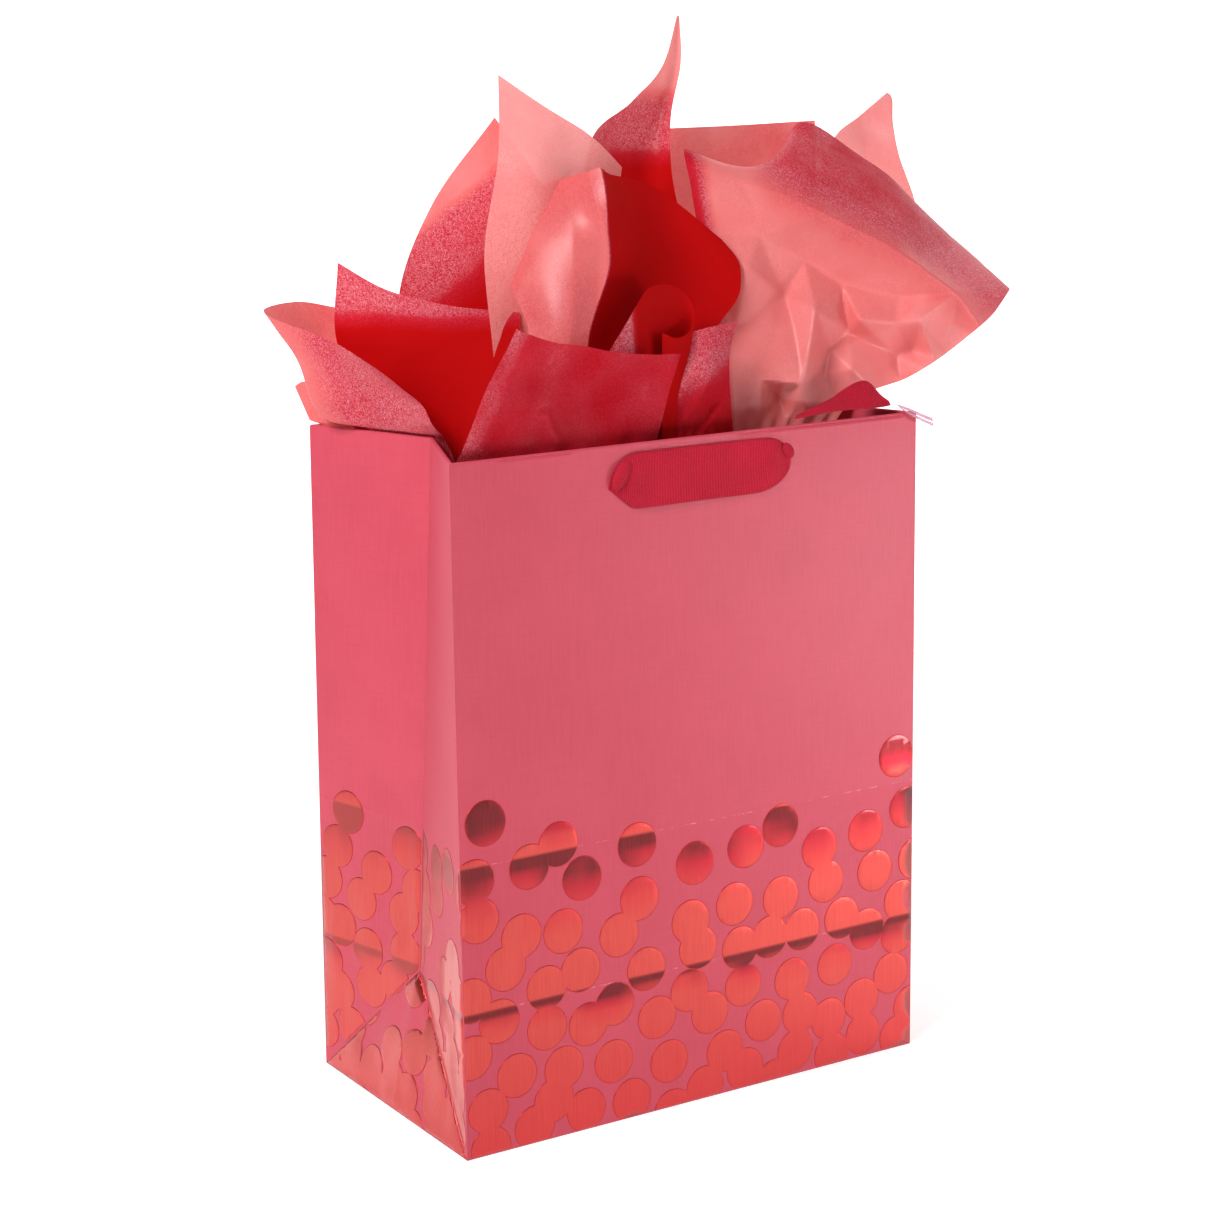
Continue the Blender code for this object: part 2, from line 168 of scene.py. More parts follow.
def coral_paper():
    """Coated coral paper: fine vertical and horizontal fibres, cloudy tone, worn crease lines."""
    m = Nodes("coral_paper")
    fibres_up = m.noise(m.scaled(900, 900, 60), 1.0, 3, 0.6)
    fibres_across = m.noise(m.scaled(70, 70, 800), 1.0, 2, 0.6)
    clouds = m.noise(m.place, 22.0, 4, 0.55)
    cloudy = m.grey(clouds, 0.0, 1.0, 0.35, 0.65)
    tone = m.mix(cloudy, (0.50, 0.048, 0.082, 1), (0.54, 0.056, 0.092, 1))
    tone = m.mix(m.grey(fibres_up, 0.0, 0.28, 0.35, 0.7), tone, (0.60, 0.080, 0.115, 1))
    tone = m.mix(m.grey(fibres_across, 0.0, 0.22, 0.45, 0.75), tone, (0.46, 0.036, 0.066, 1))
    height = m.axis("Z")
    on_panel = m.grey(m.maths("ABSOLUTE", m.axis("Y")), 0.0, 1.0, HALF_TOP - 2 * MM, HALF_TOP)
    for crease, reach in ((LOW_CREASE, 0.45 * MM), (HIGH_CREASE, 0.30 * MM)):
        away = m.maths("ABSOLUTE", m.maths("SUBTRACT", height, crease))
        line = m.grey(away, 1.0, 0.0, 0.0, reach)
        broken = m.grey(m.noise(m.scaled(260, 260, 900), 1.0, 3, 0.7), 0.0, 0.75, 0.50, 0.66)
        worn = m.maths("MULTIPLY", m.maths("MULTIPLY", line, broken), on_panel)
        tone = m.mix(worn, tone, (0.86, 0.45, 0.47, 1))
    m.bump(m.mix(0.5, fibres_up, fibres_across), 0.10, 0.0002)
    rough = m.grey(clouds, 0.40, 0.50)
    return m.finish(Base_Color=tone, Roughness=rough, Specular_IOR_Level=0.30)


def inner_paper():
    """The uncoated back of the sheet: pulp fibres and a little show-through."""
    m = Nodes("uncoated_paper_back")
    pulp = m.noise(m.place, 700.0, 4, 0.7)
    clouds = m.noise(m.place, 30.0, 3)
    tone = m.mix(m.grey(clouds, 0, 1, 0.3, 0.7), (0.74, 0.50, 0.48, 1), (0.80, 0.60, 0.57, 1))
    tone = m.mix(m.grey(pulp, 0, 0.5, 0.4, 0.7), tone, (0.62, 0.38, 0.37, 1))
    m.bump(pulp, 0.2, 0.0002)
    return m.finish(Base_Color=tone, Roughness=m.grey(pulp, 0.70, 0.85))


def card():
    """Grey recycled board with dark flecks."""
    m = Nodes("grey_board")
    pulp = m.noise(m.place, 500.0, 4, 0.7)
    flecks = m.noise(m.place, 1400.0, 1)
    tone = m.mix(m.grey(pulp, 0, 1, 0.35, 0.65), (0.30, 0.27, 0.24, 1), (0.42, 0.38, 0.34, 1))
    tone = m.mix(m.grey(flecks, 0, 0.7, 0.66, 0.74), tone, (0.08, 0.07, 0.07, 1))
    m.bump(pulp, 0.3, 0.0003)
    return m.finish(Base_Color=tone, Roughness=m.grey(pulp, 0.75, 0.9))


# Foil tones. The darkest is painted shade; the bright one also serves as painted reflection just
# above the creases.
FOIL_BRIGHT = (0.58, 0.060, 0.046, 1)
FOIL_RED = (0.56, 0.034, 0.034, 1)
FOIL_CRIMSON = (0.42, 0.008, 0.022, 1)
FOIL_PAINTED_SHADE = (0.12, 0.002, 0.004, 1)


# The foil's painted shade and painted reflection, as millimetres above (or below) a crease. The dark
# tones are painted shade and the bright ones just above a crease are painted reflection, so they look
# the same
# from every side: they stand where the film tips over at the crease.
SHORT_PAINTED_LIGHT_BANDS = (
    (LOW_CREASE, ((-14, FOIL_BRIGHT), (-5, FOIL_RED), (-2.5, FOIL_PAINTED_SHADE), (0, FOIL_PAINTED_SHADE),
                  (0.3, FOIL_BRIGHT))),
    (HIGH_CREASE, ((-30, FOIL_BRIGHT), (-18, FOIL_RED), (-9, FOIL_CRIMSON), (-5, FOIL_PAINTED_SHADE),
                   (0, FOIL_PAINTED_SHADE), (0.3, FOIL_BRIGHT), (7, FOIL_BRIGHT), (11, FOIL_CRIMSON),
                   (20, FOIL_PAINTED_SHADE))),
)
LONG_PAINTED_LIGHT_BANDS = (
    (LOW_CREASE, ((-22, FOIL_BRIGHT), (-13, FOIL_RED), (-9, FOIL_CRIMSON), (-6, FOIL_PAINTED_SHADE),
                  (0, FOIL_PAINTED_SHADE), (0.3, FOIL_BRIGHT))),
    (HIGH_CREASE, ((-42, FOIL_BRIGHT), (-30, FOIL_RED), (-20, FOIL_CRIMSON), (-12, FOIL_PAINTED_SHADE),
                   (0, FOIL_PAINTED_SHADE), (0.3, FOIL_BRIGHT), (4, FOIL_RED), (9, FOIL_CRIMSON),
                   (16, FOIL_PAINTED_SHADE))),
)
PAINTED_LIGHT_TOP = 200 * MM


def foil(name, painted_light=1.0):
    """Brushed red foil with painted shade in bands below its creases and painted reflection just
    above them; the second argument is how strongly they show.
    """
    m = Nodes(name)
    brushed = m.noise(m.scaled(1500, 1500, 30), 1.0, 3, 0.6)
    patches = m.noise(m.scaled(26, 26, 14), 1.0, 2)
    share = m.grey(m.axis("Z"), 0.0, 1.0, 0.0, PAINTED_LIGHT_TOP)

    def painted(bands):
        stops = [((crease + away * MM) / PAINTED_LIGHT_TOP, colour)
                 for crease, tones in bands for away, colour in tones]
        return m.ramp(share, [(0.0, FOIL_RED)] + stops)

    # Painted shade and painted reflection at the creases, one of two sets chosen by patches; a lower
    # strength fades them towards plain bright foil.
    bands = m.mix(m.grey(patches, 0, 1, 0.40, 0.60), painted(SHORT_PAINTED_LIGHT_BANDS), painted(LONG_PAINTED_LIGHT_BANDS))
    tone = m.mix(1.0 - painted_light, bands, FOIL_BRIGHT)
    tone = m.mix(m.grey(brushed, 0.0, 0.35, 0.4, 0.75), tone, FOIL_CRIMSON)
    m.bump(brushed, 0.25, 0.0002)
    rough = m.grey(brushed, 0.24, 0.38)
    return m.finish(Base_Color=tone, Roughness=rough, Metallic=0.92, Coat_Weight=0.5,
                    Coat_Roughness=0.12)


def foil_ring_shade():
    # Painted shade for the thin ring round each foil dot, where the debossed dot's rim lies in
    # shadow.
    m = Nodes("foil_ring_shade")
    grain = m.noise(m.place, 900.0, 2)
    tone = m.mix(grain, (0.40, 0.010, 0.020, 1), (0.62, 0.050, 0.050, 1))
    return m.finish(Base_Color=tone, Roughness=0.35, Metallic=0.9)


def ribbon():
    """Grosgrain: fine weft threads along each rib, slight fuzz, painted shade in the grooves between
    ribs and painted highlights on the rib tops.
    """
    m = Nodes("grosgrain_ribbon")
    threads = m.noise(m.scaled(2600, 2600, 900), 1.0, 2, 0.7)
    clouds = m.noise(m.place, 60.0, 3)
    fuzz = m.noise(m.place, 2400.0, 2, 0.7)
    tone = m.mix(m.grey(clouds, 0, 1, 0.3, 0.7), (0.40, 0.004, 0.020, 1), (0.52, 0.005, 0.030, 1))
    tone = m.mix(m.grey(fuzz, 0, 0.75, 0.48, 0.72), tone, (0.70, 0.030, 0.070, 1))
    rib_shading = m.add("ShaderNodeAttribute", attribute_name="rib").outputs["Fac"]
    # Painted shade in the grooves, then a painted highlight on the rib tops.
    tone = m.mix(m.grey(rib_shading, 0.85, 0.0, 0.0, 0.80), tone, (0.16, 0.001, 0.006, 1))
    tone = m.mix(m.grey(rib_shading, 0.0, 0.5, 0.80, 1.0), tone, (0.80, 0.040, 0.085, 1))
    m.bump(threads, 0.6, 0.00025)
    return m.finish(Base_Color=tone, Roughness=0.7, Specular_IOR_Level=0.15, Sheen_Weight=0.12,
                    Sheen_Roughness=0.4, Sheen_Tint=(1.0, 0.35, 0.4, 1))


def clear_plastic():
    m = Nodes("clear_plastic_sleeve")
    wrinkles = m.noise(m.scaled(300, 300, 1200), 1.0, 3)
    m.bump(wrinkles, 0.5, 0.0004)
    alpha = m.grey(wrinkles, 0.55, 0.90, 0.35, 0.65)
    return m.finish(Base_Color=(0.74, 0.34, 0.46, 1), Roughness=0.12, Alpha=alpha)


# The tissue's colours, from a single sheet to a thick fold; the deep end also serves as painted
# shade.
PALE = (0.88, 0.29, 0.28, 1)
SALMON = (0.70, 0.112, 0.112, 1)
ROSE = (0.66, 0.055, 0.085, 1)
CRIMSON = (0.52, 0.008, 0.032, 1)
DEEP = (0.50, 0.003, 0.004, 1)
LIGHT_LET_THROUGH = 0.24


def tissue():
    """Thin red tissue. Each place holds how many sheets of the folded tissue lie together there, with
    painted shade added where the petal turns away from the light: one sheet is pale and shows its
    fibres and pores against the light, more sheets and painted shade are deep red."""
    m = Nodes("red_tissue")
    layers_and_shade = m.add("ShaderNodeAttribute", attribute_name="layers_and_shade").outputs["Fac"]
    warp = m.noise(m.place, 260.0, 2, 0.6)
    fibres = m.noise(m.place, 1100.0, 3, 0.75, 1.6)
    tangle = m.noise(m.place, 950.0, 3, 0.75, 0.8)
    clouds = m.noise(m.place, 30.0, 3, 0.6)
    strands = m.grey(m.maths("ABSOLUTE", m.maths("SUBTRACT", tangle, 0.5)), 1.0, 0.0, 0.0, 0.07)
    strands = m.maths("MULTIPLY", strands, m.grey(fibres, 0.0, 1.0, 0.40, 0.58))
    uneven = m.maths("ADD", layers_and_shade, m.grey(clouds, -0.12, 0.12, 0.3, 0.7))
    share = m.grey(uneven, 0.0, 1.0, 0.0, 2.0)
    lit = m.ramp(share, [(0.0, PALE), (0.22, SALMON), (0.48, CRIMSON), (0.95, DEEP)])
    # The fibres' pattern is the sheet's own; their pale pink tones are painted light shining through
    # the thin sheet.
    flecked = m.ramp(share, [(0.0, SALMON), (0.22, (0.86, 0.24, 0.25)), (0.50, (0.92, 0.42, 0.50)),
                             (0.64, ROSE), (0.95, DEEP)])
    tone = m.mix(strands, lit, flecked)
    m.bump(m.mix(0.5, warp, fibres), 0.25, 0.0003)
    m.finish(Base_Color=tone, Roughness=m.grey(fibres, 0.34, 0.46), Specular_IOR_Level=0.45)
    matte = m.add("ShaderNodeBsdfPrincipled", {"Base Color": tone, "Roughness": 0.75,
                                               "Specular IOR Level": 0.04})
    m.set(matte.inputs["Normal"], m.shader.inputs["Normal"].links[0].from_socket)
    dullness = m.grey(share, 0.0, 1.0, 0.30, 0.74)
    surface = m.mix_shader(dullness, m.shader.outputs[0], matte.outputs[0])
    glow = m.ramp(share, [(0.0, (0.95, 0.36, 0.35)), (0.25, (0.85, 0.13, 0.125)),
                          (0.5, (0.62, 0.022, 0.035)), (1.0, (0.42, 0.003, 0.003))])
    glowing = m.add("ShaderNodeBsdfTranslucent", {"Color": glow})
    body = m.mix_shader(LIGHT_LET_THROUGH, surface, glowing.outputs[0])
    holes = m.add("ShaderNodeBsdfTransparent", {"Color": (1.0, 0.72, 0.74, 1)})
    openness = ((0.0, 0.22), (0.20, 0.05), (0.44, 0.10), (0.56, 0.10), (0.68, 0.0))
    pores = m.ramp(share, [(position, (open_share,) * 3) for position, open_share in openness])
    sheet = m.mix_shader(m.maths("MULTIPLY", pores, strands), body, holes.outputs[0])
    m.tree.links.new(sheet, m.output.inputs["Surface"])
    return m.material


PAPER_FACE = coral_paper()
PAPER_BACK = inner_paper()
BOARD = card()
FOIL = foil("brushed_red_foil")
FOIL_SIDE = foil("brushed_red_foil_on_gussets", 0.55)
FOIL_RING_SHADE = foil_ring_shade()
RIBBON = ribbon()
CLEAR = clear_plastic()
TISSUE = tissue()


# ---------------------------------------------------------------- meshes
def link(name, mesh, materials, body):
    piece = bpy.data.objects.new(name, mesh)
    bpy.context.scene.collection.objects.link(piece)
    for material in materials:
        mesh.materials.append(material)
    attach(piece, body)
    return piece


def solidify(piece, thickness, offset=-1.0, back=0):
    solid = piece.modifiers.new("Thickness", "SOLIDIFY")
    solid.thickness = thickness
    solid.offset = offset
    solid.material_offset = back
    solid.material_offset_rim = back
    return piece


def sheet_mesh(name, patches, sharp=None):
    """One mesh from several grids of points, welded where they meet."""
    mesh = bpy.data.meshes.new(name)
    shell = bmesh.new()
    for rows in patches:
        points = [[shell.verts.new(p) for p in row] for row in rows]
        for low, high in zip(points, points[1:]):
            for a, b, c, d in zip(low, low[1:], high[1:], high):
                shell.faces.new((a, b, c, d))
    bmesh.ops.remove_doubles(shell, verts=shell.verts, dist=2e-6)
    shell.to_mesh(mesh)
    shell.free()
    mesh.shade_smooth()
    if sharp:
        mesh.set_sharp_from_angle(angle=math.radians(sharp))
    return mesh


def store(mesh, name, values):
    """Keeps one value per point in the mesh, for its material to read."""
    mesh.attributes.new(name, "FLOAT", "POINT").data.foreach_set("value", values)


def grid_mesh(name, rows):
    """A grid of points as a mesh that keeps the order of the points."""
    mesh = bpy.data.meshes.new(name)
    across = len(rows[0])
    faces = [(i * across + j, i * across + j + 1, (i + 1) * across + j + 1, (i + 1) * across + j)
             for i in range(len(rows) - 1) for j in range(across - 1)]
    mesh.from_pydata([p for row in rows for p in row], [], faces)
    return mesh


# ---------------------------------------------------------------- the creased wrapper
def depth_at(z):
    """Half the depth of the bag at a height: the panels lean in a little towards the rim."""
    return HALF_DEPTH + (HALF_TOP - HALF_DEPTH) * z / HEIGHT


def corner_line(sx, sy):
    return lambda z: Vector((sx * HALF_WIDTH, sy * depth_at(z), z))


def tuck_line(sx, sy):
    """The gusset's inner crease, which splits into the two edges of the foot below the apex."""
    apex = Vector((sx * (HALF_WIDTH - TUCK_APEX), 0, APEX))
    corner = Vector((sx * HALF_WIDTH, sy * HALF_DEPTH, 0))

    def line(z):
        if z < APEX:
            return corner.lerp(apex, z / APEX)
        tuck = TUCK_APEX + (TUCK_TOP - TUCK_APEX) * (z - APEX) / (HEIGHT - APEX)
        return Vector((sx * (HALF_WIDTH - tuck), 0, z))

    return line


class Facet:
    """A flat stretch of the wrapper between two lines, left to right as seen from outside.

    A place on it is x, measured along it from its anchor (0 the left line, 1 the right line),
    and z, its height.
    """

    def __init__(self, name, left, right, anchor, top, columns, seed, swell, crinkle):
        self.name, self.left, self.right, self.anchor = name, left, right, anchor
        self.top, self.columns, self.seed = top, columns, seed
        self.swell, self.crinkle = swell, crinkle

    def width(self, z):
        return (self.right(z) - self.left(z)).length

    def relief(self, x, z):
        """How far the paper stands off its flat place: sag, creases and crinkles."""
        width = self.width(z)
        from_edge = min(x + self.anchor * width, (1 - self.anchor) * width - x)
        mask = smooth(from_edge / (12 * MM)) * smooth((HEIGHT - z) / (16 * MM)) * smooth(z / (9 * MM))
        sag = self.swell * noise.noise(Vector((x * 9, z * 7, self.seed)))
        rise = 0.0
        for crease, height in ((LOW_CREASE, 0.50 * MM), (HIGH_CREASE, 0.34 * MM)):
            reach = 7 * MM if z < crease else 20 * MM
            rise += height * math.exp(-abs(z - crease) / reach)
        fade = smooth((130 * MM - z) / (60 * MM))
        buckle = self.crinkle * fade * noise.noise(Vector((x * 60, z * 26, self.seed + 5)))
        return (sag + buckle) * mask + rise * smooth(from_edge / (4 * MM)) * smooth(z / (9 * MM))

    def point(self, x, z, lift=0.0):
        left, right = self.left(z), self.right(z)
        width = (right - left).length
        share = self.anchor + x / width if width > 1e-7 else 0.5
        flat = left.lerp(right, share)
        above = min(z + MM, self.top)
        below = above - 2 * MM
        up = self.left(above).lerp(self.right(above), share) - self.left(below).lerp(
            self.right(below), share)
        along = right - left if width > 1e-7 else self.right(2 * MM) - self.left(2 * MM)
        normal = along.cross(up).normalized()
        return flat + normal * (self.relief(x, z) + lift)

    def row(self, z):
        width = self.width(z)
        return [self.point((i / self.columns - self.anchor) * width, z)
                for i in range(self.columns + 1)]


class Foot(Facet):
    """The folded triangle at the base of a gusset, with a soft ridge up its middle."""

    def relief(self, x, z):
        width = self.width(z)
        from_edge = width / 2 - abs(x)
        mask = smooth(from_edge / (7 * MM)) * smooth(z / (6 * MM))
        ridge = 1.3 * MM * max(0.0, 1 - abs(x) / (26 * MM))
        buckle = self.crinkle * noise.noise(Vector((x * 70, z * 45, self.seed)))
        return mask * (ridge + buckle)


def make_facets():
    lines = {(sx, sy): corner_line(sx, sy) for sx in (-1, 1) for sy in (-1, 1)}
    tucks = {(sx, sy): tuck_line(sx, sy) for sx in (-1, 1) for sy in (-1, 1)}
    top = HEIGHT - RIM_RADIUS
    made = {
        "back": Facet("back", lines[-1, -1], lines[1, -1], 0.5, top, 88, 3.1, 1.0 * MM, 0.0),
        "front": Facet("front", lines[1, 1], lines[-1, 1], 0.5, top, 88, 8.7, 1.0 * MM, 0.0),
    }
    for sx, label in ((-1, "left"), (1, "right")):
        for sy, end in ((-1, "back"), (1, "front")):
            starts_at_corner = sx * sy < 0
            first, last = lines[sx, sy], tucks[sx, sy]
            if not starts_at_corner:
                first, last = last, first
            name = f"{label}_gusset_{end}"
            made[name] = Facet(name, first, last, 0.0 if starts_at_corner else 1.0, top, 48,
                               sx * 4 + sy * 2 + 20, 0.9 * MM, 0.9 * MM)
        name = f"{label}_foot"
        made[name] = Foot(name, tucks[sx, -sx], tucks[sx, sx], 0.5, APEX, 48, 40 + sx, 0, 0.6 * MM)
    return made


FACETS = make_facets()


def heights(top):
    """Row heights with closer rows round the two creases and the rim."""
    levels = {0.0, APEX, LOW_CREASE, HIGH_CREASE, HEIGHT - RIM_RADIUS}
    levels |= {i * 3 * MM for i in range(110)} | {i * 1.5 * MM for i in range(70)}
    for crease in (LOW_CREASE, HIGH_CREASE):
        levels |= {crease + step * MM for step in (-4, -2.5, -1.2, -0.5, 0.5, 1.2, 2.5)}
    kept = []
    for level in sorted(levels):
        fixed = level in (0.0, APEX, LOW_CREASE, HIGH_CREASE, HEIGHT - RIM_RADIUS)
        if level > HEIGHT - RIM_RADIUS or level > top + 1e-9:
            continue
        if kept and level - kept[-1] < 0.3 * MM:
            if not fixed:
                continue
            if kept[-1] not in (0.0, APEX, LOW_CREASE, HIGH_CREASE):
                kept.pop()
        kept.append(level)
    return kept


RING = ("back", "right_gusset_back", "right_gusset_front", "front", "left_gusset_front",
        "left_gusset_back")


def inset_ring(z, inset):
    """The six corners of the bag's outline at a height, moved inwards by an even distance."""
    corners = [FACETS[name].left(z).to_2d() for name in RING]
    moved = []
    for i, corner in enumerate(corners):
        before = (corner - corners[i - 1]).normalized()
        after = (corners[(i + 1) % len(corners)] - corner).normalized()
        normal_before = Vector((-before.y, before.x))
        normal_after = Vector((-after.y, after.x))
        mitre = (normal_before + normal_after) / (1 + normal_before.dot(normal_after))
        moved.append((corner + mitre * inset).to_3d() + Vector((0, 0, z)))
    return moved


def make_wrapper():
    """The whole sheet: outside faces, the fold over the rim, and the hem inside it."""
    patches = []
    for facet in FACETS.values():
        rows = [facet.row(z) for z in heights(facet.top)]
        patches.append(rows)
    fold = []
    arc_steps = 6
    for step in range(arc_steps + 1):
        angle = math.pi * step / arc_steps
        fold.append((RIM_RADIUS * (1 - math.cos(angle)),
                     HEIGHT - RIM_RADIUS + RIM_RADIUS * math.sin(angle)))
    hem_steps = 10
    for step in range(1, hem_steps + 1):
        fold.append((2 * RIM_RADIUS, HEIGHT - RIM_RADIUS - HEM_DEPTH * step / hem_steps))
    rings = [inset_ring(z if z < HEIGHT else HEIGHT, inset) for inset, z in fold]
    rings[0] = [FACETS[name].left(HEIGHT - RIM_RADIUS) for name in RING]
    for index, name in enumerate(RING):
        columns = FACETS[name].columns
        rows = []
        for ring in rings:
            start, end = ring[index], ring[(index + 1) % len(ring)]
            rows.append([start.lerp(end, i / columns) for i in range(columns + 1)])
        patches.append(rows)
    mesh = sheet_mesh("wrapper", patches, sharp=14)
    piece = link("wrapper", mesh, (PAPER_FACE, PAPER_BACK), "bag")
    solidify(piece, PAPER, back=1)
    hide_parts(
        "back_panel", "front_panel", "back_top_hem", "front_top_hem",
        *[f"{side}_gusset_{part}" for side in ("left", "right")
          for part in ("back_half", "front_half", "back_hem", "front_hem", "foot")])


# ---------------------------------------------------------------- foil dots
# Dot centres in millimetres, first on the back panel: across from the middle, and height. Most
# were picked on the photo and turned into millimetres with the fitted camera.
BACK_DOTS = [
    (-118, 162), (121, 156), (-79, 145), (-95, 137), (-66, 126), (-35, 137), (-2, 122),
    (-125, 135), (49, 132), (28, 125), (102, 120), (128, 128), (73, 116), (-123, 116),
    (-34, 110), (-100, 104), (-77, 102), (-46, 94), (-5, 93), (21, 97), (49, 95), (77, 98),
    (108, 98), (134, 100), (-109, 90), (-68, 81), (-87, 76), (-128, 78), (-113, 65), (-1, 79),
    (-31, 74), (24, 74), (42, 76), (62, 76), (87, 77), (103, 68), (125, 79), (123, 62),
    (-87, 56), (-64, 53), (-49, 60), (-25, 48), (-6, 58), (-128, 50), (26, 54), (56, 51),
    (83, 53), (6, 44), (38, 33), (61, 32), (79, 25), (100, 31), (119, 41), (-104, 36),
    (-78, 34), (-50, 31), (-18, 24), (-120, 22), (-84, 19), (15, 22), (132, 21), (58, 13),
    (101, 12), (-66, 10), (-40, 9), (-95, 8), (3, 6), (27, 10), (81, 6), (-16, -2), (45, 0),
    (123, 6), (-119, 3),
]
# The same on the far half of the left gusset: across from the corner, and height.
LEFT_FRONT_DOTS = [
    (21, 138), (63, 128), (41, 111), (13, 119), (30, 95), (70, 108), (61, 94), (63, 75),
    (15, 78), (35, 70), (37, 51), (13, 43), (5, 101), (2, 80), (5, 58), (22, 25), (0, 20),
    (55, 58), (2, 38),
]


def scattered_dots(seed, low, high):
    """Dots that thin out upwards and crowd together towards the base."""
    draw = random.Random(seed)
    made = []
    z = -2 * MM
    while z < 160 * MM:
        crowd = 1 - z / (160 * MM)
        keep = 0.30 + 0.75 * crowd
        x = low + draw.uniform(0, 14) * MM
        while x < high + 6 * MM:
            if draw.random() < keep:
                made.append((x + draw.uniform(-3, 3) * MM, z + draw.uniform(-4, 4) * MM))
            x += (25 - 5 * crowd) * MM
        z += (20 - 5 * crowd) * MM
    return made


def foil_outline(facet, margin):
    """The part of a facet that foil may cover, as a closed outline of (x, z)."""
    left_side, right_side = [], []
    top = min(facet.top, FOIL_TOP)
    low = 0.4 * MM
    step = 1.5 * MM
    z = low
    while True:
        width = facet.width(z)
        if width > 2.5 * margin:
            left_side.append((-facet.anchor * width + margin, z))
            right_side.append(((1 - facet.anchor) * width - margin, z))
        if z >= top:
            break
        z = min(z + step, top)
    return right_side + left_side[::-1]


def foil_piece(facet, dots, name, material):
    """One film with the merged outline of all dots, laid on the paper."""
    points, loops, edges = [], [], []

    def add_loop(ring):
        start = len(points)
        points.extend(Vector(p) for p in ring)
        loops.append(list(range(start, start + len(ring))))

    is_panel = facet.crinkle == 0
    margin = PANEL_MARGIN if is_panel else GUSSET_MARGIN
    outline = foil_outline(facet, margin)
    add_loop(outline)
    low_x = min(x for x, z in outline)
    high_x = max(x for x, z in outline)
    high_z = max(z for x, z in outline)
    sides = 44
    for radius in (DOT_RADIUS, DOT_RADIUS - DOT_EDGE):
        for x, z in dots:
            add_loop([(x + radius * math.cos(i * math.tau / sides),
                       z + radius * math.sin(i * math.tau / sides)) for i in range(sides)])
    spacing = PANEL_SPACING if is_panel else GUSSET_SPACING
    for crease in (LOW_CREASE, HIGH_CREASE):
        if crease < high_z:
            first = len(points)
            count = int((high_x - low_x) / spacing)
            points.extend(Vector((low_x + (high_x - low_x) * i / count, crease))
                          for i in range(count + 1))
            edges.extend((i, i + 1) for i in range(first, len(points) - 1))
    for j in range(1, int(high_z / spacing)):
        for i in range(1, int((high_x - low_x) / spacing)):
            points.append(Vector((low_x + i * spacing + 0.3 * MM * (j % 3), j * spacing)))
    made = delaunay_2d_cdt(points, edges, loops, 0, 1e-7)
    flat, faces, sources = made[0], made[2], made[5]
    outer = set(range(1, 1 + len(dots)))
    inner = set(range(1 + len(dots), 1 + 2 * len(dots)))
    kept, ring_shade_index, bare = [], [], set()
    for face, source in zip(faces, sources):
        source = set(source)
        if 0 in source and source & outer:
            kept.append(face)
            # Faces in the ring round a dot get the painted shade material; faces inside it keep the
            # foil.
            ring_shade_index.append(0 if source & inner else 1)
        else:
            bare.update(face)
    used = sorted({i for face in kept for i in face})
    place = {old: new for new, old in enumerate(used)}
    mesh = bpy.data.meshes.new(name)
    co = []
    for i in used:
        x, z = flat[i]
        width = facet.width(z)
        clear = min(x + facet.anchor * width, (1 - facet.anchor) * width - x) - margin
        rise = 0.0 if i in bare else smooth(clear / (1.5 * MM))
        co.append(facet.point(x, z, FOIL_EDGE_LIFT + (FOIL_LIFT - FOIL_EDGE_LIFT) * rise))
    mesh.from_pydata(co, [], [[place[i] for i in face] for face in kept])
    mesh.polygons.foreach_set("material_index", ring_shade_index)
    mesh.shade_smooth()
    mesh.set_sharp_from_angle(angle=math.radians(14))
    piece = link(name, mesh, (material, FOIL_RING_SHADE), "bag")
    solidify(piece, FOIL_FILM)
    return piece


def make_foil():
    placed = (("back", BACK_DOTS, FOIL), ("left_gusset_front", LEFT_FRONT_DOTS, FOIL_SIDE))
    for name, dots, material in placed:
        centres = [(x * MM, z * MM) for x, z in dots]
        foil_piece(FACETS[name], centres, f"foil_dots_{name}", material)
    for seed, name in enumerate(("front", "right_gusset_back", "right_gusset_front",
                                 "left_gusset_back", "left_foot", "right_foot")):
        facet = FACETS[name]
        widest = facet.width(0 if name.endswith("foot") else facet.top)
        low = -facet.anchor * widest
        dots = scattered_dots(11 + seed, low, low + widest)
        material = FOIL if name == "front" else FOIL_SIDE
        foil_piece(facet, dots, f"foil_dots_{name}", material)


# ---------------------------------------------------------------- ribbon handles
def spline(points, per_step):
    """Points along a Catmull-Rom curve through the given ones."""
    points = [Vector(p) for p in points]
    points = [2 * points[0] - points[1]] + points + [2 * points[-1] - points[-2]]
    made = []
    for a, b, c, d in zip(points, points[1:], points[2:], points[3:]):
        for step in range(per_step):
            t = step / per_step
            made.append(0.5 * (2 * b + (c - a) * t + (2 * a - 5 * b + 4 * c - d) * t**2
                               + (3 * b - a - 3 * c + d) * t**3))
    return made + [points[-2]]


def resample(path, count):
    """The same line with evenly spaced points."""
    lengths = [0.0]
    for a, b in zip(path, path[1:]):
        lengths.append(lengths[-1] + (b - a).length)
    made, i = [], 0
    for step in range(count + 1):
        target = lengths[-1] * step / count
        while i < len(path) - 2 and lengths[i + 1] < target:
            i += 1
        span = max(lengths[i + 1] - lengths[i], 1e-9)
        made.append(path[i].lerp(path[i + 1], (target - lengths[i]) / span))
    return made


def even_in_x(path, count):
    """Points on the line at even steps of x."""
    start, end = path[0].x, path[-1].x
    made, i = [], 0
    for step in range(count + 1):
        share = step / count
        while i < len(path) - 2 and (path[i + 1].x - start) / (end - start) < share:
            i += 1
        a, b = path[i], path[i + 1]
        made.append(a.lerp(b, (start + (end - start) * share - a.x) / (b.x - a.x)))
    return made


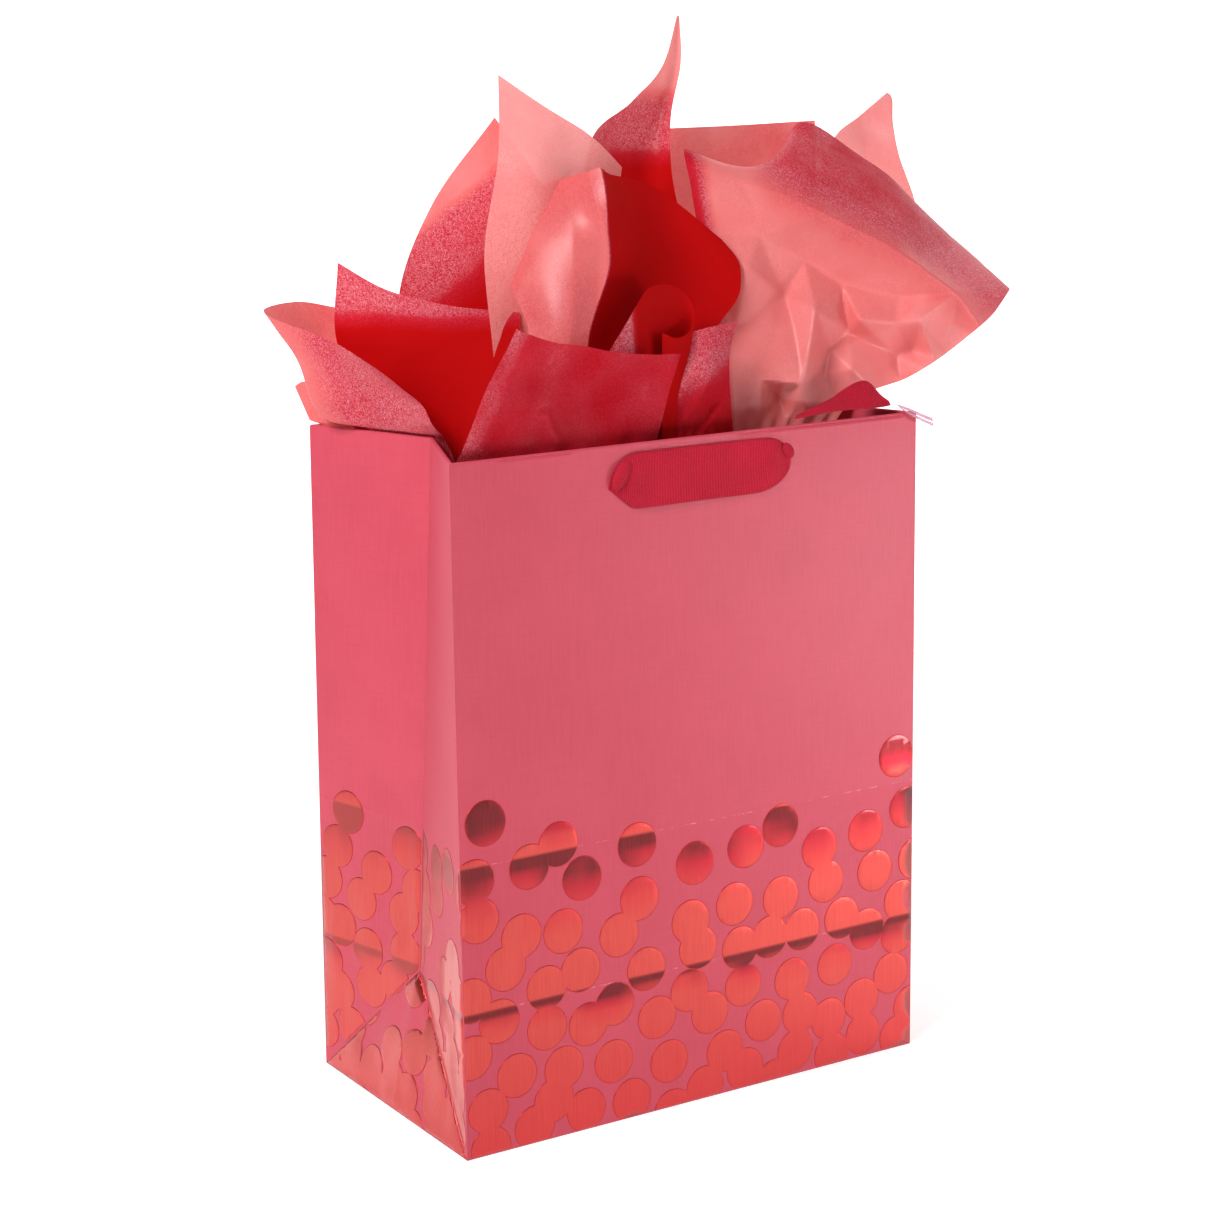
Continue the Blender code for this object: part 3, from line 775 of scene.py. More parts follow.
def ribbed_strip(name, lower, upper, body, replaced, bend=None, spread=resample):
    """Grosgrain between two edges, its cross ribs real, its selvedges flat and beaded."""
    length = sum((b - a).length for a, b in zip(lower, lower[1:]))
    length = max(length, sum((b - a).length for a, b in zip(upper, upper[1:])))
    count = max(8, int(length / RIB_PITCH * 4))
    across = RIBBON_COLUMNS
    low_line, high_line = spread(lower, count), spread(upper, count)
    rows = []
    for i, (a, b) in enumerate(zip(low_line, high_line)):
        before = low_line[max(i - 1, 0)] + high_line[max(i - 1, 0)]
        after = low_line[min(i + 1, count)] + high_line[min(i + 1, count)]
        normal = (after - before).cross(b - a).normalized()
        phase = math.sin(2 * math.pi * i / 4 + 0.4)
        row = []
        for j in range(across + 1):
            t = j / across
            selvedge = min(t, 1 - t) < 0.06
            height = RIB_HEIGHT * phase * (0.35 if selvedge else 1.0)
            height += SELVEDGE_BEAD if selvedge else 0.0
            p = a.lerp(b, t) + normal * height
            if bend:
                p += bend(i / count, t)
            row.append(p)
        rows.append(row)
    mesh = grid_mesh(name, rows)
    # Where each point sits on its rib's wave, for the ribbon's painted groove shade and rib-top
    # highlight.
    store(mesh, "rib", [0.5 + 0.5 * math.sin(math.tau * i / 4 + 0.4)
                        for i in range(len(rows)) for j in range(across + 1)])
    mesh.shade_smooth()
    piece = link(name, mesh, (RIBBON,), body)
    solidify(piece, RIBBON_THICKNESS, offset=0.0)
    for node in replaced:
        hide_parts(node)
    return piece


SPAN_TOP = [(-48.2, 311.6), (-45.8, 317.5), (-41.5, 322.6), (-36, 325.2), (-28, 325.7),
            (4, 325.7), (38, 325.5), (45.5, 324.6), (51, 321.6), (54.8, 318.2), (56.6, 315.6)]
SPAN_BOTTOM = [(-48.6, 309.8), (-44.5, 306.6), (-40, 303.0), (-35.5, 299.9), (-29, 299.3),
               (4, 299.5), (33, 299.5), (41, 300.6), (48, 303.4), (53, 307.6), (56, 312.2)]


def make_span(side, label):
    """The ribbon outside the panel. Its ends tuck into the punched holes."""
    stand_off = 0.9 * MM

    def edge(points):
        made = []
        for p in spline([(x * MM, 0, z * MM) for x, z in points], 6):
            x = p.x if side < 0 else 8 * MM - p.x
            made.append(Vector((x, side * (depth_at(p.z) + stand_off), p.z)))
        return made

    def bend(s, t):
        out = math.sin(math.pi * t)
        end = max(0.0, 1 - min(s, 1 - s) / 0.10)
        near_end = math.exp(-((min(s, 1 - s) - 0.13) / 0.06) ** 2)
        tuck = -1.0 * MM * end**2
        puff = (0.5 + 1.5 * near_end) * MM * out * (1 - end)
        return Vector((0, side * (tuck + puff), 0))

    lower, upper = edge(SPAN_BOTTOM), edge(SPAN_TOP)
    if side > 0:
        lower, upper = lower[::-1], upper[::-1]
    span = f"{label}_handle_span"
    ribbed_strip(f"{label}_ribbon_span", lower, upper, "bag", [span], bend,
                 even_in_x)
    ends = ((-1, (-42.6, 316.0), 58, 15.5, 7.6), (1, (52.6, 318.4), -52, 8.5, 5.6))
    for hand, (x, z), tilt, length, width in ends:
        x = x * MM if side < 0 else 8 * MM - x * MM
        turn = math.radians(tilt if side < 0 else -tilt)
        along = Vector((math.cos(turn), 0, math.sin(turn)))
        if along.z < 0:
            along = -along
        sideways = Vector((along.z, 0, -along.x)) * (1 if side < 0 else -1)
        centre = Vector((x, side * (depth_at(z * MM) + stand_off + 0.9 * MM), z * MM))
        rows = []
        steps = int(length * 4)
        for i in range(steps + 1):
            s = 2 * i / steps - 1
            half = width / 2 * MM * math.sqrt(max(0.02, 1 - s * s))
            row = []
            for j in range(13):
                angle = math.pi * j / 12
                rib = 1 + 0.05 * math.sin(2 * math.pi * i / 4)
                row.append(centre + along * (s * length / 2 * MM)
                           - sideways * math.cos(angle) * half
                           + Vector((0, side * math.sin(angle) * half * 0.55 * rib, 0)))
            rows.append(row)
        name = f"{label}_ribbon_fold_{'left' if hand * side > 0 else 'right'}"
        mesh = sheet_mesh(name, [rows])
        # The rib wave along the folded end, for its painted groove shade and rib-top highlight.
        store(mesh, "rib", [
            0.55 + 0.4 * math.cos(math.tau * (v.co - centre).dot(along) / RIB_PITCH)
            for v in mesh.vertices])
        piece = link(name, mesh, (RIBBON,), "bag")
        solidify(piece, 0.3 * MM)


def bunched_strand(name, path, radius, body, replaced):
    """Ribbon gathered into folds where it passes a hole: a tube with a pleated section."""
    count = 40
    line = resample(spline(path, 6), count)
    lobes, sides = 5, 40
    rows = []
    for i, p in enumerate(line):
        ahead = (line[min(i + 1, count)] - line[max(i - 1, 0)]).normalized()
        across = ahead.cross(Vector((0, 1, 0.01))).normalized()
        other = ahead.cross(across)
        row = []
        for j in range(sides + 1):
            angle = math.tau * j / sides
            reach = radius * (0.78 + 0.22 * math.cos(lobes * angle + 0.12 * i))
            reach *= 1 + 0.04 * math.sin(2 * math.pi * i / 2.5)
            reach *= math.sqrt(1 - (1 - min(i, 4) / 4) ** 2) * 0.94 + 0.06
            row.append(p + (across * math.cos(angle) + other * math.sin(angle)) * reach)
        rows.append(row)
    mesh = sheet_mesh(name, [rows])
    shell = bmesh.new()
    shell.from_mesh(mesh)
    ends = [e for e in shell.edges if e.is_boundary]
    bmesh.ops.holes_fill(shell, edges=ends)
    bmesh.ops.recalc_face_normals(shell, faces=shell.faces)
    shell.to_mesh(mesh)
    shell.free()
    outward = [min((v.co - p).length for p in line) for v in mesh.vertices]
    # Painted shade deep in the gathers and a painted highlight on the lobes that stand out.
    store(mesh, "rib", [smooth((reach / radius - 0.55) / 0.45) for reach in outward])
    piece = link(name, mesh, (RIBBON,), body)
    for node in replaced:
        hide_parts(node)


def make_legs():
    holes = {"left": -44 * MM, "right": 52 * MM}
    for side, label in ((-1, "back"), (1, "front")):
        for hand, x in holes.items():
            node = f"{label}_handle_{hand}_leg"
            low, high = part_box(node)
            inner = side * (HALF_TOP - 3.8 * MM)
            drift = ((low.x + high.x) / 2 - x) * 2
            path = [(x, side * depth_at(HOLE_HEIGHT), HOLE_HEIGHT),
                    (x, side * (depth_at(HOLE_HEIGHT) - 2.5 * MM), HOLE_HEIGHT + 0.4 * MM),
                    (x, inner, HOLE_HEIGHT + 4 * MM),
                    (x + drift / 2, inner, (HOLE_HEIGHT + 4 * MM + high.z) / 2),
                    (x + drift, inner, high.z)]
            bunched_strand(f"{label}_ribbon_{hand}_bunch", path, 1.6 * MM, "bag", [node])


# The back loop's edges in millimetres, where it lies over the rim.
HUMP_LOWER = [(58, -68.5, 333.0), (78, -67.5, 334.2), (88, -66.5, 334.0), (98, -66, 333.8),
              (106, -66, 333.6), (113, -66, 333.6), (118, -66, 334.0)]
HUMP_UPPER = [(60, -66.5, 334.2), (84, -60, 338.6), (96, -54, 341), (108, -52, 344.6),
              (115, -52, 343.8), (119, -56, 338.0), (120, -62, 335.2)]
RUN_LOWER = [(-40, -64.8, 303), (0, -64.0, 302), (35, -61.0, 302), (70, -60.6, 303),
             (108, -61.2, 305)]
RUN_UPPER = [(-40, -64.8, 320), (0, -64.0, 326), (35, -61.0, 327), (70, -60.6, 328),
             (108, -61.2, 328)]
CRIMP_LOWER = [(121.5, -69.6, 332.4), (126, -72.6, 328.8), (132, -73.5, 325.6),
               (139, -73.5, 322.6)]
CRIMP_UPPER = [(121.5, -66.0, 334.2), (126, -70.0, 332.4), (132, -72.0, 329.5),
               (139, -72.5, 326.6)]


def in_metres(points):
    return [Vector(p) * MM for p in points]


def make_back_handle():
    make_span(-1, "back")
    ribbed_strip("back_ribbon_loop", spline(in_metres(HUMP_LOWER), 8),
                 spline(in_metres(HUMP_UPPER), 8), "back_handle", ["back_handle_loop"])
    ribbed_strip("back_ribbon_inner_run", spline(in_metres(RUN_LOWER), 8),
                 spline(in_metres(RUN_UPPER), 8), "bag", ["back_handle_inner_run"])
    lower, upper = spline(in_metres(CRIMP_LOWER), 6), spline(in_metres(CRIMP_UPPER), 6)
    bands = ((0.0, 0.38, "lower"), (0.56, 1.0, "upper"))
    for start, end, label in bands:
        rows = []
        for i, (a, b) in enumerate(zip(lower, upper)):
            ripple = Vector((0, -0.25 * MM * math.sin(i * 1.1), 0))
            rows.append([a.lerp(b, start + (end - start) * j / 6) + ripple for j in range(7)])
        name = f"back_crimp_{label}_strip"
        piece = link(name, sheet_mesh(name, [rows]), (CLEAR,), "bag")
        solidify(piece, 0.25 * MM, offset=0.0)
        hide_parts("back_handle_crimp")


def front_loop_edges(start, end, count):
    """Edges of the hanging loop from start to end, where 0 and 1 are its two ends at the rim."""
    half, drop, centre = 48 * MM, 100 * MM, 4 * MM
    leg_low = HEIGHT - 0.45 * drop
    bend = 0.55 * drop
    inner_edge, outer_edge = [], []
    for step in range(count + 1):
        turn = 2 * (start + (end - start) * step / count) - 1
        if abs(turn) > 0.6:
            rise = (abs(turn) - 0.6) / 0.4
            x = math.copysign(half, turn)
            z = leg_low + (HEIGHT + 1.5 * MM - leg_low) * rise
            normal = Vector((math.copysign(1, turn), 0, 0))
        else:
            angle = turn / 0.6 * math.pi / 2
            x = half * math.sin(angle)
            z = leg_low - bend * math.cos(angle)
            normal = Vector((math.sin(angle), 0, -math.cos(angle))).normalized()
        twist = math.radians(78) * (1 - min(1.0, abs(turn) / 0.75) ** 2)
        bunch = min(1.0, (1 - abs(turn)) / 0.16)
        width = RIBBON_WIDTH * (0.30 + 0.70 * bunch)
        y = HALF_TOP + 3.5 * MM + math.sin(twist) * width / 2
        across = normal * math.cos(twist) + Vector((0, 1, 0)) * math.sin(twist)
        middle = Vector((centre + x, y, z))
        inner_edge.append(middle - across * width / 2)
        outer_edge.append(middle + across * width / 2)
    return inner_edge, outer_edge


def make_front_handle():
    make_span(1, "front")
    for name, start, end in (("left", 0.0, 0.478), ("right", 0.522, 1.0)):
        inner, outer = front_loop_edges(start, end, 60)
        ribbed_strip(f"front_ribbon_{name}_strap", inner, outer, "front_handle",
                     [f"front_handle_{name}_strap"])
    inner, outer = front_loop_edges(0.480, 0.520, 8)
    rows = []
    for i, (a, b) in enumerate(zip(inner, outer)):
        pinch = 0.35 * MM * math.sin(i * 0.8)
        rows.append([a.lerp(b, j / 8) + Vector((0, 0, pinch * math.sin(j))) for j in range(9)])
    piece = link("front_crimp", sheet_mesh("front_crimp", [rows]), (CLEAR,), "front_handle")
    solidify(piece, 1.4 * MM, offset=0.0)
    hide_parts("front_handle_crimp")


# ---------------------------------------------------------------- tissue paper
# Each petal is a grid of points in millimetres, row by row from inside the bag to its free edge.
# Most points above the rim were picked on the photo, at a guessed depth, and turned into
# millimetres with the fitted camera.
PETALS = {
    "front_petal": (
        ((-95, -46, 200), (-76, -48, 195), (-60, -48, 195), (-42, -48, 197), (-25, -46, 200)),
        ((-123, -58, 328), (-100, -59, 327), (-68, -58, 327), (-39, -57, 327), (-13, -56, 327)),
        ((-118, -66, 350), (-97, -64, 350), (-64, -58, 349), (-34, -57, 348), (-11, -61, 347)),
        ((-111, -73, 373), (-89, -68, 372), (-60, -64, 369), (-34, -63, 366), (-8, -64, 363)),
        ((-104, -78, 390), (-84, -73, 382), (-61, -69, 377), (-34, -66, 372), (-5, -62, 368)),
    ),
    "front_small_petal": (
        ((-14, -45, 205), (-3, -46, 200), (8, -45, 205)),
        ((-9, -52, 326), (10, -54, 327), (34, -50, 325)),
        ((-3, -50, 345), (11, -56, 349), (32, -51, 347)),
        ((5, -49, 362), (17, -54, 367), (34, -49, 368)),
        ((12, -48, 376), (23, -50, 378), (39, -47, 379)),
    ),
    "centre_petal": (
        ((-62, -26, 195), (-45, -28, 190), (-28, -30, 190), (-5, -28, 192), (18, -26, 195)),
        ((-74, -28, 330), (-54, -36, 330), (-34, -40, 330), (2, -34, 330), (40, -28, 332)),
        ((-63, -26, 378), (-55, -38, 376), (-44, -44, 375), (-9, -36, 369), (33, -34, 370)),
        ((-62, -2, 412), (-51, -26, 411), (-30, -42, 411), (18, -22, 395), (53, -30, 392)),
        ((-54, 4, 427), (-37, -16, 436), (-31, -38, 437), (22, -14, 422), (56, -24, 404)),
        ((-43, 8, 435), (-33, -8, 445), (-29, -30, 452), (18, -12, 440), (50, -18, 415)),
    ),
    "right_petal": (
        ((34, -30, 195), (46, -31, 192), (56, -31, 190), (66, -32, 190), (82, -33, 192),
         (98, -34, 195)),
        ((40, -36, 330), (54, -37, 330), (67, -38, 330), (80, -39, 331), (98, -41, 332),
         (113, -43, 334)),
        ((39, -26, 365), (62, -32, 363), (80, -36, 360), (102, -38, 357), (130, -42, 350),
         (150, -46, 345)),
        ((46, -6, 409), (68, -17, 406), (88, -23, 403), (112, -28, 398), (150, -36, 380),
         (186, -40, 359)),
        ((47, 4, 440), (70, -8, 437), (92, -18, 431), (115, -26, 421), (158, -34, 396),
         (208, -36, 370)),
        ((47, 10, 456), (82, 0, 448), (106, -4, 456), (139, -10, 449), (186, -22, 417),
         (226, -30, 382)),
        ((50, 14, 457), (94, 5, 444), (118, 10, 470), (155, 2, 451), (194, -14, 416),
         (228, -28, 382)),
    ),
    "left_petal": (
        ((-90, 0, 200), (-94, 10, 197), (-98, 24, 197), (-100, 36, 200), (-94, 44, 200),
         (-86, 46, 200)),
        ((-100, -8, 330), (-108, 8, 330), (-114, 30, 330), (-117, 50, 332), (-106, 56, 332),
         (-92, 54, 332)),
        ((-110, -14, 339), (-112, 10, 335), (-120, 34, 333), (-133, 52, 336), (-117, 60, 342),
         (-106, 60, 345)),
        ((-112, -10, 346), (-116, 10, 350), (-127, 34, 355), (-145, 58, 367), (-123, 68, 368),
         (-110, 66, 367)),
        ((-121, -6, 355), (-126, 14, 364), (-136, 36, 374), (-157, 64, 387), (-133, 72, 389),
         (-114, 68, 385)),
    ),
    "left_inner_petal": (
        ((-84, 30, 200), (-81, 16, 196), (-78, 2, 196), (-74, -14, 200)),
        ((-104, 38, 333), (-97, 22, 333), (-90, 2, 333), (-82, -20, 333)),
        ((-129, 42, 371), (-111, 24, 369), (-90, 4, 369), (-65, -18, 370)),
        ((-129, 40, 410), (-112, 26, 398), (-92, 6, 391), (-62, -14, 387)),
    ),
    "left_tall_petal": (
        ((-76, 36, 200), (-64, 33, 196), (-52, 31, 196), (-42, 28, 200)),
        ((-92, 42, 340), (-74, 39, 340), (-56, 35, 340), (-36, 31, 340)),
        ((-94, 44, 395), (-76, 36, 396), (-56, 28, 396), (-33, 20, 395)),
        ((-78, 40, 434), (-66, 32, 431), (-50, 24, 427), (-29, 16, 422)),
        ((-47, 32, 475), (-40, 28, 464), (-34, 22, 452), (-25, 16, 436)),
    ),
    "tall_petal_left": (
        ((-50, -6, 200), (-38, -7, 196), (-24, -7, 196), (-10, -6, 200)),
        ((-75, -10, 375), (-54, -14, 376), (-28, -12, 376), (0, -6, 374)),
        ((-76, -6, 413), (-56, -14, 416), (-26, -10, 418), (2, -4, 419)),
        ((-65, -2, 462), (-53, -10, 456), (-27, -8, 450), (1, -4, 445)),
        ((-61, 4, 496), (-41, -4, 481), (-17, -6, 467), (3, -2, 451)),
    ),
    "tall_petal_right": (
        ((-20, 8, 200), (-6, 8, 196), (10, 8, 196), (24, 8, 200)),
        ((-14, 4, 412), (8, 8, 410), (31, 12, 409), (52, 14, 408)),
        ((-5, 10, 466), (18, 22, 457), (37, 26, 452), (44, 16, 447)),
        ((22, 18, 481), (37, 26, 475), (45, 28, 472), (46, 20, 469)),
        ((45, 24, 500), (51, 28, 499), (54, 29, 498), (55, 24, 499)),
        ((55, 28, 521), (56, 29, 521), (57, 29, 521), (57, 28, 521)),
    ),
    "back_petal": (
        ((0, 28, 200), (30, 30, 195), (64, 30, 200)),
        ((34, 30, 382), (86, 34, 379), (135, 32, 376)),
        ((43, 34, 426), (98, 38, 426), (147, 36, 424)),
        ((52, 38, 466), (99, 40, 466), (148, 38, 467)),
    ),
    "right_back_petal": (
        ((68, 14, 200), (82, 14, 195), (92, 12, 200)),
        ((84, 18, 335), (97, 14, 335), (106, 6, 336)),
        ((130, 26, 402), (168, 24, 400), (202, 16, 378)),
        ((157, 30, 461), (176, 26, 441), (197, 16, 425)),
        ((173, 34, 468), (183, 32, 462), (193, 24, 446)),
        ((193, 36, 480), (195, 36, 479), (194, 32, 466)),
    ),
    "far_left_petal": (
        ((-92, 50, 215), (-82, 50, 210), (-72, 48, 215)),
        ((-118, 60, 290), (-108, 58, 290), (-94, 54, 290)),
        ((-133, 65, 331), (-126, 61, 331), (-116, 57, 331)),
        ((-139, 69, 349), (-136, 68, 351), (-132, 66, 351)),
    ),
}


def hermite(points, t, sharp=()):
    """A point on the smooth curve through the points. It has corners at the sharp ones."""
    spans = len(points) - 1
    i = min(int(t * spans), spans - 1)
    u = t * spans - i

    def tangent(k):
        if k in (0, spans) or k in sharp:
            return points[i + 1] - points[i]
        before, after = points[k] - points[k - 1], points[k + 1] - points[k]
        first, second = max(before.length, 1e-6), max(after.length, 1e-6)
        speed = (before * (second / first) + after * (first / second)) / (first + second)
        return speed * (points[i + 1] - points[i]).length

    start, end = tangent(i), tangent(i + 1)
    return ((2 * u**3 - 3 * u**2 + 1) * points[i] + (u**3 - 2 * u**2 + u) * start
            + (-2 * u**3 + 3 * u**2) * points[i + 1] + (u**3 - u**2) * end)


def petal_rows(grid, up, across, sharp):
    grid = [[Vector(p) * MM for p in row] for row in grid]
    rows = []
    for i in range(up + 1):
        line = [hermite([row[k] for row in grid], i / up) for k in range(len(grid[0]))]
        rows.append([hermite(line, j / across, sharp) for j in range(across + 1)])
    return rows


def fold_height(point, folds):
    """Raised height of a point beside fold lines, each one steep on one side, easy on the other."""
    total = 0.0
    for (ax, az), (bx, bz), height, reach_left, reach_right in folds:
        a, b = Vector((ax, az)) * MM, Vector((bx, bz)) * MM
        along = b - a
        p = Vector((point.x, point.z)) - a
        share = p.dot(along) / along.length_squared
        off = (p.x * along.y - p.y * along.x) / along.length
        reach = (reach_right if off > 0 else reach_left) * MM
        ends = smooth(min(share, 1 - share) * 5 + 1)
        total += height * MM * max(0.0, 1 - abs(off) / reach) * ends
    return total


def crumple(point, seed, size):
    """Facets with sharp ridges, like paper that has been squeezed and opened again."""
    near = noise.voronoi(point / size + Vector((seed, seed * 0.7, 0)))[0]
    return min(near[1] - near[0], 0.9)


def facet_heights(corners, places):
    """Heights at (x, z) places on flat facets between corners given as (x, z, height), in mm."""
    made = delaunay_2d_cdt([Vector((x, z)) for x, z, height in corners], [], [], 0, 1e-4)
    spots = np.array([tuple(v) for v in made[0]])
    rise = np.array([corners[original[0]][2] for original in made[3]])
    total = np.zeros(len(places))
    ring = [(0, 0)] + [(math.cos(k * math.pi / 3), math.sin(k * math.pi / 3)) for k in range(6)]
    for dx, dz in ring:
        x, z = places[:, 0] + dx * CREASE_ROUNDING, places[:, 1] + dz * CREASE_ROUNDING
        found = np.zeros(len(places))
        for a, b, c in made[2]:
            (xa, za), (xb, zb), (xc, zc) = spots[a], spots[b], spots[c]
            whole = (xb - xa) * (zc - za) - (xc - xa) * (zb - za)
            u = ((xb - x) * (zc - z) - (xc - x) * (zb - z)) / whole
            v = ((xc - x) * (za - z) - (xa - x) * (zc - z)) / whole
            w = 1 - u - v
            inside = (u >= 0) & (v >= 0) & (w >= 0)
            found[inside] = (u * rise[a] + v * rise[b] + w * rise[c])[inside]
        total += found / len(ring)
    return total


def tissue_mesh(name, rows, layers_and_shade):
    """A grid of points as a mesh that stores, at each point, how many sheets lie together there with
    painted shade added.
    """
    mesh = grid_mesh(name, rows)
    across = len(rows[0])
    store(mesh, "layers_and_shade", [layers_and_shade(j / (across - 1), i / (len(rows) - 1), p / MM)
                           for i, row in enumerate(rows) for j, p in enumerate(row)])
    mesh.shade_smooth()
    mesh.set_sharp_from_angle(angle=math.radians(35))
    return mesh


def petal(name, grid, seed, layers_and_shade, sharp=(), folds=(), facets=(), crumpled=(0.0, 24.0),
          ripple=0.5, up_step=2.4):
    """A sheet over the grid with ripples, folds and crumples, single and paper thin."""
    span_up = sum((Vector(b[0]) - Vector(a[0])).length for a, b in zip(grid, grid[1:]))
    span_across = max(sum((Vector(b) - Vector(a)).length for a, b in zip(row, row[1:]))
                      for row in grid)
    up, across = int(span_up / up_step), int(span_across / up_step)
    across -= across % (len(grid[0]) - 1)
    rows = petal_rows(grid, up, across, sharp)
    places = np.array([(p.x / MM, p.z / MM) for row in rows for p in row])
    faceted = facet_heights(facets, places) if facets else np.zeros(len(places))
    made = []
    for i, row in enumerate(rows):
        line = []
        for j, p in enumerate(row):
            right = row[min(j + 1, across)] - row[max(j - 1, 0)]
            above = rows[min(i + 1, up)][j] - rows[max(i - 1, 0)][j]
            normal = right.cross(above).normalized()
            rim_side = smooth((p.z - 300 * MM) / (60 * MM))
            pleat = 1.1 * MM * (1 - 0.85 * rim_side) * math.sin(j * 42 / across + seed)
            wave = ripple * MM * noise.noise(p * 38 + Vector((seed, 0, 0))) * 2
            amount, size = crumpled
            squeezed = amount * MM * crumple(p, seed, size * MM)
            inside = smooth((p.z - 322 * MM) / (14 * MM))
            creased = squeezed + fold_height(p, folds)
            lift = pleat * (1 - inside) + wave + creased * inside
            moved = p + normal * lift + FRONTAL * (faceted[i * (across + 1) + j] * MM * inside)
            line.append(kept_inside(moved))
        made.append(line)
    return link(name, tissue_mesh(name, made, layers_and_shade), (TISSUE,), "tissue")


def kept_inside(p):
    """Below the rim a petal stays between the bag's hems; just above it the limit opens out."""
    open_out = smooth((p.z - HEIGHT - 1 * MM) / (8 * MM)) * 0.2
    z = min(p.z, HEIGHT)
    room = 2.6 * MM - open_out
    depth = depth_at(z)
    y = max(-depth + room, min(depth - room, p.y))
    tuck = TUCK_APEX + (TUCK_TOP - TUCK_APEX) * (z - APEX) / (HEIGHT - APEX)
    reach = HALF_WIDTH - max(0.0, tuck * (1 - abs(y) / depth)) - room
    x = max(-reach, min(reach, p.x))
    return Vector((x, y, p.z))


def declare_tissue(node):
    """Hides the CAD node that a tissue sheet stands in for."""
    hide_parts(node)


# The squeezed stretches of two petals: facet corners as (x, z, height) in millimetres. Their places
# were read off the photo like the petals' points, and their heights are by judgement. Facets rise
# along FRONTAL, roughly towards the camera, so that the petals' outlines stay where they are.
CREASE_ROUNDING = 1.0
FRONTAL = Vector((-0.52, -0.82, 0.22))
RIGHT_FACETS = (
    (0, 480, 0), (0, 380, 0), (30, 300, 0), (120, 290, 0), (190, 300, 0), (235, 335, 0),
    (250, 385, -10), (220, 430, -12), (182, 456, -14), (140, 480, -14), (90, 495, -12),
    (19, 460, 0), (47, 452, 0), (70, 443, 3), (94, 471, -12), (128, 458, -14), (162, 435, -14),
    (197, 409, -23), (228, 382, -10), (106, 424, 11), (146, 403, 15), (181, 380, 17), (203, 353, 8),
    (42, 417, 0), (65, 400, 8), (74, 415, 2), (96, 403, -4), (82, 387, -4), (115, 391, -4),
    (146, 382, 0), (96, 378, 13), (121, 372, 8), (141, 369, 6), (156, 369, 15), (102, 361, -8),
    (115, 367, -6), (142, 355, -10), (152, 357, -10), (170, 354, -2), (162, 351, 8), (178, 367, 0),
    (193, 351, 4), (98, 348, -10), (113, 349, 6), (110, 329, -6), (124, 339, 2), (83, 343, 11),
    (72, 340, -8), (75, 323, -6), (88, 322, 6), (61, 347, 4), (60, 323, 0), (53, 373, 0),
    (141, 345, -10), (154, 346, 8), (153, 327, -6), (173, 334, 4), (170, 329, 0), (159, 325, 0),
)
SMALL_FACETS = (
    (-20, 310, 0), (50, 310, 0), (50, 390, 0), (-20, 390, 0), (-4, 350, 1), (33, 367, 2),
    (-4, 342, -1), (18, 339, -3), (31, 347, 1), (5, 336, 3), (18, 355, 3), (28, 327, 2),
    (-1, 330, 0), (9, 366, 0), (24, 338, 3), (12, 327, -2),
)
# Folds as (start, end, height, reach on the left, reach on the right), in millimetres.
FRONT_FOLDS = (
    ((-100, 392), (-118, 336), 3.0, 8, 16),
    ((-62, 362), (-10, 372), 2.2, 14, 18),
    ((-78, 346), (-66, 326), 3.0, 5, 7),
)
CENTRE_FOLDS = (
    ((-36, 456), (-76, 366), 3.6, 20, 8),
    ((-34, 450), (-57, 352), 2.6, 9, 13),
    ((-50, 446), (-92, 400), 2.0, 12, 10),
)


def above_line(p, line):
    """How far a place (x, z) lies above a line of places given from left to right."""
    for (xa, za), (xb, zb) in zip(line, line[1:]):
        if p.x <= xb or (xb, zb) == line[-1]:
            return ((zb - za) * (xa - p.x) + (xb - xa) * (p.z - za)) / math.hypot(xb - xa, zb - za)


# The ridge where the large petal curls back, as (x, z) in millimetres, read off the photo.
RIGHT_RIDGE = [(60, 448), (70, 443), (106, 424), (146, 403), (181, 380), (203, 353)]


def right_layers_and_shade(p):
    """Beyond its ridge the large petal curls back away from the light: painted shade makes it deep
    red at first, speckled at its edge.
    """
    beyond = above_line(p, RIGHT_RIDGE)
    deep = 0.92 * smooth((beyond + 18) / 40) - 0.20 * smooth((p.x - 168) / 40)
    return 0.22 + deep * smooth((p.x - 64) / 24)


